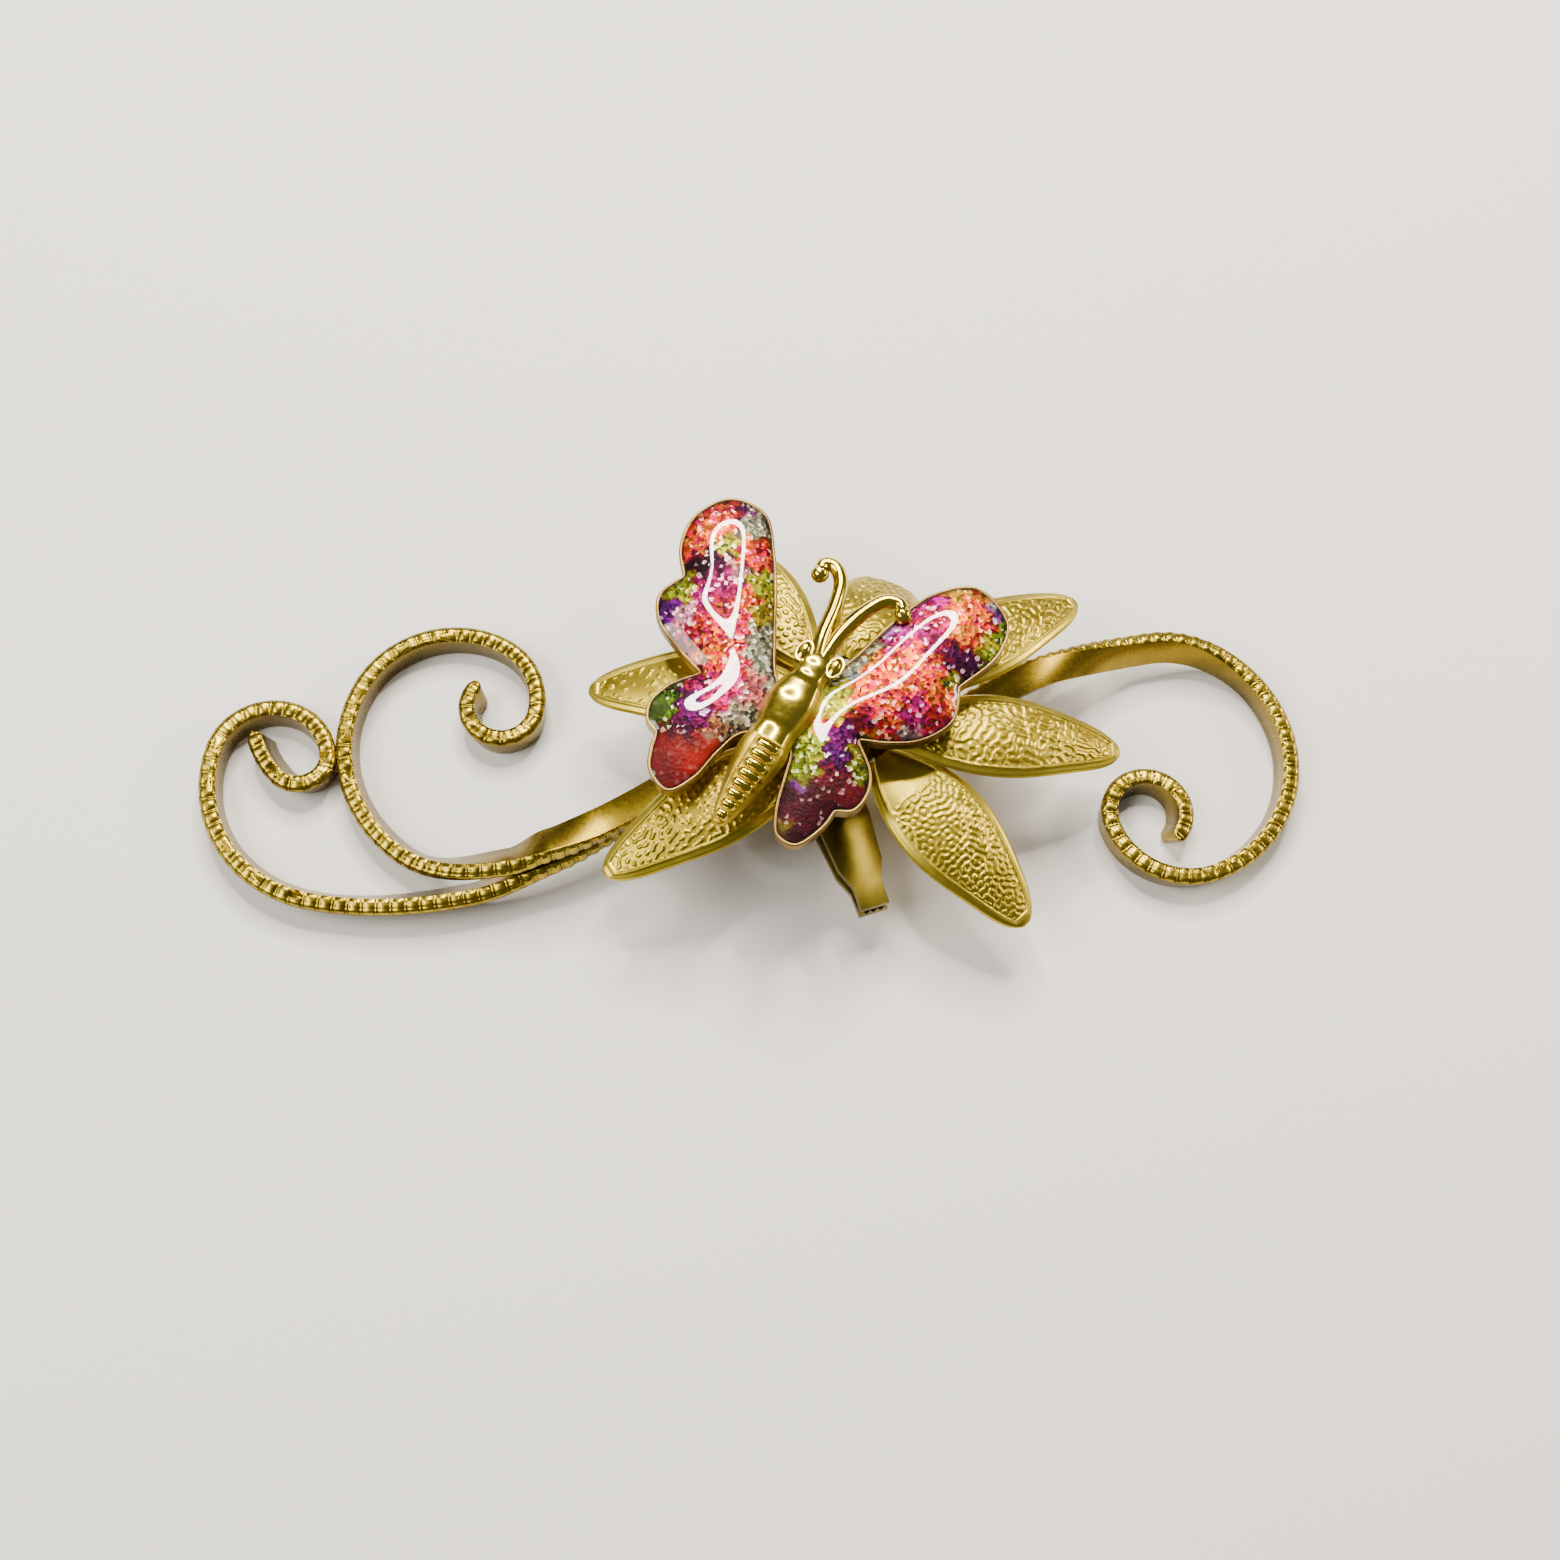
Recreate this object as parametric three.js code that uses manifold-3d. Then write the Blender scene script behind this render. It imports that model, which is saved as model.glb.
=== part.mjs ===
// Butterfly hair clip: a gold-plated ornament of leaves and scrolls on a sprung alligator clip.
// Units are millimetres. +X runs along the ornament, +Y towards the clip's levers, +Z up.
// The origin is under the centre of the part's box, on the surface that it lies on.
import * as THREE from 'three';
import { mergeVertices } from 'three/addons/utils/BufferGeometryUtils.js';
import Module from 'manifold-3d';

const wasm = await Module();
wasm.setup();

// ---- Driving dimensions ----------------------------------------------------

const SHEET = 0.6;
const SMALL_GAP = 0.1;
const TURNED_GAP = 0.3;

// Milled-edge strip that the scrolls are bent from.
const STRIP_WIDTH = 2.4;
const STRIP_THICKNESS = 1.25;
const STRIP_CROWN = 0.25;
const STRIP_STEP = 0.95;
const STRIP_TAIL = 12;

// Alligator clip.
const CLIP_ANGLE = -73.7;
const CLIP_PIVOT_X = 3.3;
const CLIP_PIVOT_Y = 4.5;
const CLIP_JAW_LENGTH = 17;
const CLIP_LEVER_LENGTH = 11;
const CLIP_TOP = 4.4;
const CLIP_JAW_WIDTH = 4.0;
const CLIP_TIP_WIDTH = 2.2;
const CLIP_LEVER_WIDTH = 5.0;
const CLIP_TAPER = 7;
const PIN_RADIUS = 0.6;
const PIN_HEIGHT = 2.35;
const PIN_CLEARANCE = 0.12;
const EAR_RADIUS = 1.2;
const EAR_THICKNESS = 0.5;
const UPPER_EAR_INSIDE = 2.3;
const LOWER_EAR_OUTSIDE = 1.95;
const SPRING_WIRE = 0.45;
const SPRING_RADIUS = 0.98;
const SPRING_TURNS = 3;
const TOOTH_COUNT = 4;
const TOOTH_HEIGHT = 0.55;

// Backing plate and centre post.
const HUB_X = 4.4;
const HUB_Y = 2.4;
const PLATE_RADIUS = 5.0;
const POST_RADIUS = 1.2;
const HUB_RADIUS = 3.0;
const HUB_THICKNESS = 0.5;

// Leaves.
const LEAF_HALF_WIDTH = 3.15;
const LEAF_DRAWN_WIDTH = 3.15;
const FAN_TURN = 7;
const LEAF_THICKNESS = 0.6;
const LEAF_CAMBER = 0.5;
const LEAF_STEM = 1.0;
const LEAF_TIP = 0.35;

// Butterfly.
const WING_BASE = 10.0;
const WING_RIM_HEIGHT = 1.25;
const WING_FLOOR = 0.5;
const WING_RIM = 0.42;
const RESIN_CROWN = 0.55;
const ANTENNA_RADIUS = 0.42;

// ---- Levels that follow from the dimensions above ---------------------------

const PLATE_BOTTOM = CLIP_TOP + SMALL_GAP;
const PLATE_TOP = PLATE_BOTTOM + SHEET;
const LOW_STRIP_LIFT = PLATE_TOP + SMALL_GAP;
const HIGH_STRIP_LIFT = LOW_STRIP_LIFT + STRIP_THICKNESS + SMALL_GAP;
const LEAF_LEVEL = HIGH_STRIP_LIFT + 1.35;
const HIGH_LEAF_LEVEL = HIGH_STRIP_LIFT + STRIP_THICKNESS + LEAF_CAMBER + SMALL_GAP;
const LOW_LEAF_LEVEL = LOW_STRIP_LIFT + STRIP_THICKNESS + LEAF_CAMBER + SMALL_GAP;
const HUB_TOP = LEAF_LEVEL - LEAF_CAMBER - SMALL_GAP;
const WING_TOP = WING_BASE + WING_RIM_HEIGHT;

const rad = THREE.MathUtils.degToRad;

// ---- Materials --------------------------------------------------------------

const gold = () => new THREE.MeshStandardMaterial({ color: 0xb8923c, metalness: 1, roughness: 0.35 });
const brightGold = () => new THREE.MeshStandardMaterial({ color: 0xd8b75a, metalness: 1, roughness: 0.22 });
const steel = () => new THREE.MeshStandardMaterial({ color: 0xb9a36a, metalness: 1, roughness: 0.4 });
const springSteel = () => new THREE.MeshStandardMaterial({ color: 0x9c9a92, metalness: 1, roughness: 0.45 });
const resin = (color) => new THREE.MeshStandardMaterial({ color, metalness: 0, roughness: 0.12 });

// ---- Solid helpers ----------------------------------------------------------

// Turns a closed three.js geometry into a solid for joining and cutting.
function toSolid(geometry) {
  const bare = geometry.clone();
  bare.deleteAttribute('normal');
  bare.deleteAttribute('uv');
  const merged = mergeVertices(bare, 1e-4);
  const mesh = new wasm.Mesh({
    numProp: 3,
    vertProperties: new Float32Array(merged.attributes.position.array),
    triVerts: new Uint32Array(merged.index.array),
  });
  return new wasm.Manifold(mesh);
}

// Turns a solid back into a three.js geometry.
function toGeometry(solid) {
  const mesh = solid.getMesh();
  const geometry = new THREE.BufferGeometry();
  geometry.setAttribute('position', new THREE.BufferAttribute(mesh.vertProperties, 3));
  geometry.setIndex(new THREE.BufferAttribute(mesh.triVerts, 1));
  geometry.computeVertexNormals();
  return geometry;
}

// Prism over a plan outline, from one height to another.
function prism(shape, bottom, top) {
  const geometry = new THREE.ExtrudeGeometry(shape, { depth: top - bottom, bevelEnabled: false });
  geometry.translate(0, 0, bottom);
  return geometry;
}

// Plate of a side profile (x along, y up), centred on a distance across.
function sidePlate(shape, centre, thickness) {
  const geometry = new THREE.ExtrudeGeometry(shape, { depth: thickness, bevelEnabled: false });
  geometry.translate(0, 0, -thickness / 2);
  geometry.rotateX(Math.PI / 2);
  geometry.translate(0, centre, 0);
  return geometry;
}

function ellipsoid(x, y, z, rx, ry, rz, turn, segments) {
  const geometry = new THREE.SphereGeometry(1, segments, Math.round(segments / 2));
  geometry.scale(rx, ry, rz);
  geometry.rotateZ(rad(turn));
  geometry.translate(x, y, z);
  return geometry;
}

function node(name, geometry, material) {
  const mesh = new THREE.Mesh(geometry, material);
  mesh.name = name;
  return mesh;
}

// ---- Scrolls ----------------------------------------------------------------

// Path of the milled edge: a straight tail, then a chain of arcs that all turn clockwise.
// The tail and each arc end with a roll (0 stands on edge, 90 lies flat) and a lift above the surface.
class ScrollPath extends THREE.Curve {
  constructor(start, heading, innerLift, tail, arcs) {
    super();
    this.first = { roll: tail.roll, lift: innerLift };
    this.runs = [{ length: STRIP_TAIL, curvature: 0, roll: tail.roll, lift: tail.lift }];
    for (const arc of arcs) {
      const length = arc.radius * rad(arc.turn);
      this.runs.push({ length, curvature: -1 / arc.radius, roll: arc.roll, lift: arc.lift });
    }
    this.total = this.runs.reduce((sum, run) => sum + run.length, 0);
    this.heading = rad(heading);
    this.origin = new THREE.Vector2(
      start[0] - STRIP_TAIL * Math.cos(this.heading),
      start[1] - STRIP_TAIL * Math.sin(this.heading),
    );
  }

  // Plan position, heading, roll and lift at a share of the length.
  stateAt(share) {
    let left = share * this.total;
    let { x, y } = this.origin;
    let heading = this.heading;
    let roll = this.first.roll;
    let lift = this.first.lift;
    for (const run of this.runs) {
      const along = Math.min(left, run.length);
      const turned = heading + run.curvature * along;
      if (run.curvature === 0) {
        x += along * Math.cos(heading);
        y += along * Math.sin(heading);
      } else {
        x += (Math.sin(turned) - Math.sin(heading)) / run.curvature;
        y -= (Math.cos(turned) - Math.cos(heading)) / run.curvature;
      }
      heading = turned;
      const ease = THREE.MathUtils.smoothstep(along / run.length, 0, 1);
      roll = THREE.MathUtils.lerp(roll, run.roll, ease);
      lift = THREE.MathUtils.lerp(lift, run.lift, ease);
      left -= along;
      if (left <= 1e-9) break;
    }
    return { x, y, heading, roll: rad(roll), lift };
  }

  getPoint(share, target = new THREE.Vector3()) {
    const { x, y, roll, lift } = this.stateAt(share);
    const rise = STRIP_WIDTH * Math.cos(roll) + (STRIP_THICKNESS / 2) * Math.sin(roll);
    return target.set(x, y, lift + rise);
  }

  getPointAt(share, target) {
    return this.getPoint(share, target);
  }

  computeFrenetFrames(segments) {
    const frames = { tangents: [], normals: [], binormals: [] };
    const up = new THREE.Vector3(0, 0, 1);
    for (let i = 0; i <= segments; i += 1) {
      const { heading, roll } = this.stateAt(i / segments);
      const tangent = new THREE.Vector3(Math.cos(heading), Math.sin(heading), 0);
      const side = new THREE.Vector3(-Math.sin(heading), Math.cos(heading), 0);
      const across = side.clone().multiplyScalar(-Math.cos(roll)).addScaledVector(up, Math.sin(roll));
      const inward = side.multiplyScalar(-Math.sin(roll)).addScaledVector(up, -Math.cos(roll));
      frames.tangents.push(tangent);
      frames.normals.push(across);
      frames.binormals.push(inward);
    }
    return frames;
  }
}

// Section of the strip: the milled edge is at y = 0 and has chamfered corners.
function stripSection() {
  const half = STRIP_THICKNESS / 2;
  const section = new THREE.Shape();
  section.moveTo(-half, STRIP_CROWN);
  section.lineTo(-half + STRIP_CROWN, 0);
  section.lineTo(half - STRIP_CROWN, 0);
  section.lineTo(half, STRIP_CROWN);
  section.lineTo(half, STRIP_WIDTH);
  section.lineTo(-half, STRIP_WIDTH);
  section.closePath();
  return section;
}

function scroll(name, start, heading, innerLift, tail, arcs) {
  const path = new ScrollPath(start, heading, innerLift, tail, arcs);
  const steps = Math.round(path.total / STRIP_STEP);
  const settings = { steps, extrudePath: path, bevelEnabled: false };
  const geometry = new THREE.ExtrudeGeometry(stripSection(), settings);
  return node(name, geometry, gold());
}

function outerLeftScroll() {
  return scroll('scroll_left_outer', [-11.0, -6.2], -148.6, LOW_STRIP_LIFT, { roll: 88, lift: 2.7 }, [
    { radius: 30.3, turn: 7.6, roll: 72, lift: 2.1 },
    { radius: 30.3, turn: 13.4, roll: 34, lift: 0.5 },
    { radius: 30.3, turn: 22.7, roll: 22, lift: 0 },
    { radius: 10.2, turn: 91.4, roll: 2, lift: 0 },
    { radius: 4.35, turn: 161.1, roll: 2, lift: 0 },
    { radius: 2.25, turn: 142.9, roll: 24, lift: 0 },
    { radius: 7.7, turn: 30.7, roll: 20, lift: 0 },
  ]);
}

function innerLeftScroll() {
  // It lies on the outer scroll, so it keeps clear of it by the strip's own size.
  const nest = STRIP_THICKNESS + 0.2 * STRIP_WIDTH;
  const start = [nest - 13.23, 1.4 * nest - 8.922];
  const tail = { roll: 88, lift: STRIP_THICKNESS + 2.95 };
  return scroll('scroll_left_inner', start, -154.9, HIGH_STRIP_LIFT, tail, [
    { radius: 25, turn: 9, roll: 72, lift: 1.2 * STRIP_THICKNESS + 2.2 },
    { radius: 25, turn: 7.5, roll: 48, lift: 1.4 * STRIP_THICKNESS + 0.8 },
    { radius: 11.25, turn: 46, roll: 22, lift: 0 },
    { radius: 11.25, turn: 77.7, roll: 3, lift: 0 },
    { radius: 7.7, turn: 94.7, roll: 0, lift: 0 },
    { radius: 5.3, turn: 72, roll: 0, lift: 0 },
    { radius: 2.7, turn: 217.5, roll: 14, lift: 0 },
  ]);
}

function rightScroll() {
  return scroll('scroll_right', [18.55, 5.95], 29.1, LOW_STRIP_LIFT, { roll: 80, lift: LOW_STRIP_LIFT }, [
    { radius: 37.5, turn: 19.7, roll: 32, lift: 1.2 },
    { radius: 8.9, turn: 65.4, roll: 4, lift: 0 },
    { radius: 10.25, turn: 104.9, roll: 12, lift: 0 },
    { radius: 5.9, turn: 96.6, roll: 2, lift: 0 },
    { radius: 3.0, turn: 100, roll: 4, lift: 0 },
    { radius: 3.0, turn: 142.3, roll: 22, lift: 0 },
  ]);
}

// ---- Leaves -----------------------------------------------------------------

// Arched leaf: a plate of pointed-oval plan, cambered across and bent down along its length.
function leaf(name, spec) {
  const along = 16;
  const across = 6;
  const geometry = new THREE.BoxGeometry(1, 1, 1, along, across, 1);
  const slopes = [];
  let reach = 0;
  let height = 0;
  const fine = 64;
  for (let i = 0; i <= fine; i += 1) {
    const share = i / fine;
    const slope = rad(spec.slope + (spec.droop - spec.slope) * share ** spec.bend);
    slopes.push({ reach, height, slope });
    reach += (spec.length / fine) * Math.cos(slope);
    height += (spec.length / fine) * Math.sin(slope);
  }
  const position = geometry.attributes.position;
  for (let i = 0; i < position.count; i += 1) {
    const share = position.getX(i) + 0.5;
    const v = position.getY(i) * 2;
    const w = position.getZ(i) + 0.5;
    const at = slopes[Math.round(share * fine)];
    const belly = Math.sin(Math.PI * (0.08 + 0.92 * share) ** 0.92);
    const stem = THREE.MathUtils.lerp(LEAF_STEM, LEAF_TIP, share);
    const bluntness = 0.8 - 0.3 * THREE.MathUtils.smoothstep(share, 0.6, 1);
    const half = Math.max(stem, LEAF_HALF_WIDTH * spec.width * Math.max(belly, 0) ** bluntness);
    const lift = w * LEAF_THICKNESS - LEAF_CAMBER * v * v * (half / LEAF_HALF_WIDTH);
    position.setXYZ(i, at.reach - lift * Math.sin(at.slope), v * half, at.height + lift * Math.cos(at.slope));
  }
  geometry.computeVertexNormals();
  // Wider leaves fan out further and stand further apart at their stems.
  const wider = LEAF_HALF_WIDTH - LEAF_DRAWN_WIDTH;
  geometry.rotateZ(rad(spec.angle + FAN_TURN * spec.fan * wider));
  geometry.translate(spec.base[0] + spec.apart[0] * wider, spec.base[1] + spec.apart[1] * wider, spec.level);
  return node(name, geometry, gold());
}

function leaves() {
  const plain = {
    length: 17.4, slope: 8, droop: -28, bend: 1, width: 1, fan: 0, apart: [0, 0], level: LEAF_LEVEL,
  };
  return [
    leaf('leaf_left', { ...plain, base: [2.6, 3.8], angle: 174.8, length: 15.6, apart: [0, -0.2] }),
    leaf('leaf_lower_left', {
      ...plain, base: [3.5, -1.3], angle: 209.2, droop: -24, width: 1.04, level: HIGH_LEAF_LEVEL,
    }),
    leaf('leaf_lower_right', {
      ...plain, base: [8.8, -1.4], angle: -50.2, length: 16.2, width: 1.15, level: LOW_LEAF_LEVEL,
    }),
    leaf('leaf_right', {
      ...plain, base: [10.2, 0.3], angle: -2.5, length: 17.2, width: 1.05, fan: -0.6, apart: [0.6, -0.4],
    }),
    leaf('leaf_upper_right', { ...plain, base: [10.0, 4.1], angle: 28.5, fan: 1.1, apart: [1, 0.9] }),
    leaf('leaf_upper_left', {
      ...plain, base: [3.6, 6.3], angle: 121, length: 16, droop: -60, bend: 1.3, fan: 0, apart: [-0.2, 1.5],
    }),
    leaf('leaf_top', {
      ...plain, base: [7.0, 6.2], angle: 66, length: 14, droop: -88, bend: 1.1, fan: 1, apart: [0.3, 1.4],
    }),
  ];
}

// ---- Plate and post ---------------------------------------------------------

function backingPlate() {
  const geometry = new THREE.CylinderGeometry(PLATE_RADIUS, PLATE_RADIUS, SHEET, 40);
  geometry.rotateX(Math.PI / 2);
  geometry.translate(HUB_X, HUB_Y, PLATE_BOTTOM + SHEET / 2);
  return node('backing_plate', geometry, gold());
}

// Turned post with a hub flange under the leaf stems.
function centrePost() {
  const bottom = PLATE_TOP + SMALL_GAP;
  const top = WING_BASE - SMALL_GAP;
  const profile = [
    new THREE.Vector2(0, bottom),
    new THREE.Vector2(POST_RADIUS, bottom),
    new THREE.Vector2(POST_RADIUS, HUB_TOP - HUB_THICKNESS),
    new THREE.Vector2(HUB_RADIUS, HUB_TOP - HUB_THICKNESS),
    new THREE.Vector2(HUB_RADIUS, HUB_TOP),
    new THREE.Vector2(POST_RADIUS, HUB_TOP),
    new THREE.Vector2(POST_RADIUS, top),
    new THREE.Vector2(0, top),
  ];
  const geometry = new THREE.LatheGeometry(profile, 32);
  geometry.rotateX(Math.PI / 2);
  geometry.translate(HUB_X, HUB_Y, 0);
  return node('centre_post', geometry, gold());
}

// ---- Butterfly --------------------------------------------------------------

// Wing outlines as lobes. Each lobe runs from one notch to the next, anticlockwise or clockwise alike.
const LEFT_WING = {
  start: [1.9, 1.9],
  lobes: [
    [
      [1.2, 3.4], [1.2, 6.8], [1.4, 10.1], [1.4, 13.5], [0.8, 17.0],
      [-1.8, 18.3], [-4.6, 16.8], [-5.7, 14.2], [-5.5, 11.8],
    ],
    [[-7.3, 10.3], [-7.4, 8.2], [-6.2, 6.1], [-4.5, 3.9]],
    [[-6.7, 3.0], [-8.2, 1.5], [-8.3, 0.2], [-7.7, -0.7]],
    [[-8.1, -2.0], [-8.2, -3.6], [-6.9, -5.3], [-5.0, -4.4], [-3.2, -2.4], [-1.7, -1.1], [-0.2, -0.9]],
  ],
};
const RIGHT_WING = {
  start: [3.6, 2.8],
  lobes: [
    [[6.4, 4.6], [9.6, 7.6], [12.9, 10.0], [16.3, 10.5], [18.4, 7.6], [17.4, 4.8], [14.4, 2.3]],
    [[14.2, 0.9], [13.6, -0.5], [11.4, -1.8], [9.1, -2.0], [6.9, -1.7]],
    [[7.6, -4.0], [7.3, -5.8], [6.2, -7.1], [4.9, -7.1]],
    [[4.0, -8.3], [1.9, -9.6], [0.6, -8.7], [0.6, -6.8], [1.4, -4.0], [1.8, -2.4], [1.2, -1.2]],
  ],
};

// Closed outline through the lobes of a wing, wound anticlockwise.
function wingOutline(wing) {
  const points = [];
  let from = new THREE.Vector3(wing.start[0], wing.start[1], 0);
  for (const lobe of wing.lobes) {
    const knots = [from, ...lobe.map(([x, y]) => new THREE.Vector3(x, y, 0))];
    const curve = new THREE.CatmullRomCurve3(knots, false, 'centripetal');
    const count = knots.length * 3;
    points.push(...curve.getPoints(count).slice(0, -1));
    from = knots[knots.length - 1];
  }
  points.push(from);
  const outline = points.map((point) => new THREE.Vector2(point.x, point.y));
  if (THREE.ShapeUtils.isClockWise(outline)) outline.reverse();
  return outline;
}

// Moves each side of a closed anticlockwise outline inwards by a distance.
function inset(outline, distance) {
  const count = outline.length;
  return outline.map((point, i) => {
    const before = outline[(i + count - 1) % count];
    const after = outline[(i + 1) % count];
    const first = point.clone().sub(before).normalize();
    const second = after.clone().sub(point).normalize();
    const inward = new THREE.Vector2(-first.y - second.y, first.x + second.x).normalize();
    const spread = Math.max(0.6, inward.dot(new THREE.Vector2(-first.y, first.x)));
    return point.clone().addScaledVector(inward, distance / spread);
  });
}

// Body axis from the tail towards the head.
const BODY_HEAD = new THREE.Vector2(4.5, 4.9);
const BODY_TAIL = new THREE.Vector2(-3.5, -8.0);
const BODY_LENGTH = BODY_HEAD.distanceTo(BODY_TAIL);
const BODY_TURN = THREE.MathUtils.radToDeg(Math.atan2(BODY_HEAD.y - BODY_TAIL.y, BODY_HEAD.x - BODY_TAIL.x));
const BODY_LEVEL = WING_TOP + 0.35;

// Half-width of the body at a share of its length from the tail.
const BODY_PROFILE = [
  [0, 0], [0.02, 0.55], [0.12, 1.0], [0.3, 1.55], [0.43, 1.8], [0.52, 1.6],
  [0.6, 1.75], [0.7, 2.0], [0.82, 1.6], [0.88, 1.3], [0.94, 1.35], [0.99, 0.8], [1.02, 0],
];

function bodySolid() {
  const profile = BODY_PROFILE.map(([share, half]) => new THREE.Vector2(half, share * BODY_LENGTH));
  const torso = new THREE.LatheGeometry(profile, 20);
  torso.rotateZ(-Math.PI / 2);
  torso.scale(1, 1, 0.7);
  torso.rotateZ(rad(BODY_TURN));
  torso.translate(BODY_TAIL.x, BODY_TAIL.y, BODY_LEVEL);
  let solid = toSolid(torso);
  for (const [x, y] of [[3.2, 4.9], [5.2, 3.7]]) {
    solid = solid.add(toSolid(ellipsoid(x, y, BODY_LEVEL + 0.4, 0.62, 0.95, 0.75, BODY_TURN - 90, 12)));
  }
  return solid;
}

// Antenna: a round wire from the head that curls over and ends in a ball.
function antennaSolid(points, ball) {
  const knots = points.map(([x, y, z]) => new THREE.Vector3(x, y, z));
  const path = new THREE.CatmullRomCurve3(knots, false, 'centripetal');
  const section = new THREE.Shape().absarc(0, 0, ANTENNA_RADIUS, 0, Math.PI * 2);
  const wire = new THREE.ExtrudeGeometry(section, {
    steps: 18, curveSegments: 4, extrudePath: path, bevelEnabled: false,
  });
  const end = ellipsoid(ball[0], ball[1], ball[2], 0.7, 0.7, 0.7, 0, 12);
  return toSolid(wire).add(toSolid(end));
}

function traySolid(wing) {
  const outline = wingOutline(wing);
  const pocket = inset(outline, WING_RIM);
  const block = toSolid(prism(new THREE.Shape(outline), WING_BASE, WING_TOP));
  return block.subtract(toSolid(prism(new THREE.Shape(pocket), WING_BASE + WING_FLOOR, WING_TOP + 1)));
}

function butterflyCasting() {
  let solid = bodySolid();
  solid = solid.add(traySolid(LEFT_WING));
  solid = solid.add(traySolid(RIGHT_WING));
  const z = BODY_LEVEL + 0.1;
  solid = solid.add(antennaSolid(
    [
      [3.8, 4.2, z], [4.6, 6.6, z + 0.1], [5.7, 9.0, z], [6.2, 10.8, z],
      [5.7, 12.0, z], [4.9, 12.1, z], [4.7, 11.4, z],
    ],
    [4.7, 11.3, z],
  ));
  solid = solid.add(antennaSolid(
    [[4.4, 4.4, z], [6.0, 7.0, z + 0.1], [8.0, 8.6, z], [9.6, 9.3, z], [10.5, 8.9, z], [10.5, 7.8, z]],
    [10.5, 7.7, z],
  ));
  return node('butterfly_casting', toGeometry(solid), brightGold());
}

// Domed resin fill of a wing: the pocket's plan under a shallow ellipsoid.
function enamel(name, wing, dome, color) {
  const outline = inset(wingOutline(wing), WING_RIM + SMALL_GAP);
  const bottom = WING_BASE + WING_FLOOR + SMALL_GAP;
  const fill = toSolid(prism(new THREE.Shape(outline), bottom, WING_TOP + 2));
  const height = 6;
  const cap = new THREE.SphereGeometry(1, 40, 40);
  cap.scale(dome.radiusX, dome.radiusY, height);
  cap.rotateZ(rad(dome.turn));
  cap.translate(dome.x, dome.y, WING_TOP + RESIN_CROWN - height);
  let solid = fill.intersect(toSolid(cap));
  solid = solid.subtract(clearedBody());
  return node(name, toGeometry(solid), resin(color));
}

// The body with a little room round it, so that the resin stops beside it.
function clearedBody() {
  const profile = BODY_PROFILE.map(([share, half]) => {
    const grown = half === 0 ? 0 : half + SMALL_GAP * 1.6;
    return new THREE.Vector2(grown, share * (BODY_LENGTH + 0.6) - 0.3);
  });
  const torso = new THREE.LatheGeometry(profile, 20);
  torso.rotateZ(-Math.PI / 2);
  torso.scale(1, 1, 0.77);
  torso.rotateZ(rad(BODY_TURN));
  torso.translate(BODY_TAIL.x, BODY_TAIL.y, BODY_LEVEL);
  return toSolid(torso);
}

// ---- Alligator clip ---------------------------------------------------------

// Plan outline of a clip sheet: wide lever, waist at the pivot, tapered nose.
function clipPlan(waist) {
  const lever = CLIP_LEVER_WIDTH / 2;
  const jaw = CLIP_JAW_WIDTH / 2;
  const tip = CLIP_TIP_WIDTH / 2;
  const back = -CLIP_LEVER_LENGTH;
  const front = CLIP_JAW_LENGTH;
  const side = [
    [back + 1, lever], [-4, lever], [-2.6, waist], [2.6, waist], [3.6, jaw],
    [front - CLIP_TAPER, jaw], [front - 3.4, (jaw + tip) / 2 + 0.15], [front - 1.8, tip], [front, tip],
  ];
  const shape = new THREE.Shape();
  shape.moveTo(back, -lever + 1);
  shape.lineTo(back + 1, -lever);
  for (const [x, y] of side.slice(1)) shape.lineTo(x, -y);
  for (const [x, y] of side.slice().reverse()) shape.lineTo(x, y);
  shape.lineTo(back, lever - 1);
  shape.closePath();
  return shape;
}

// Ear of a clip sheet: a round end at the pin, joined to the sheet by a straight-sided root.
function ear(centre, root) {
  const shape = new THREE.Shape();
  const outward = Math.sign(root - PIN_HEIGHT);
  shape.moveTo(-EAR_RADIUS, root);
  shape.lineTo(-EAR_RADIUS, PIN_HEIGHT);
  shape.absarc(0, PIN_HEIGHT, EAR_RADIUS, Math.PI, 0, outward < 0);
  shape.lineTo(EAR_RADIUS, root);
  shape.closePath();
  return toSolid(sidePlate(shape, centre, EAR_THICKNESS));
}

function pinBore(length) {
  const radius = PIN_RADIUS + PIN_CLEARANCE;
  const bore = new THREE.CylinderGeometry(radius, radius, length, 24);
  bore.translate(0, 0, PIN_HEIGHT);
  return toSolid(bore);
}

function upperJaw() {
  const centre = UPPER_EAR_INSIDE + EAR_THICKNESS / 2;
  const waist = UPPER_EAR_INSIDE + EAR_THICKNESS;
  let solid = toSolid(prism(clipPlan(waist), CLIP_TOP - SHEET, CLIP_TOP));
  for (const side of [-1, 1]) solid = solid.add(ear(side * centre, CLIP_TOP - SHEET / 2));
  solid = solid.subtract(pinBore(4 * centre));
  return node('clip_upper_jaw', toGeometry(solid), steel());
}

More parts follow.
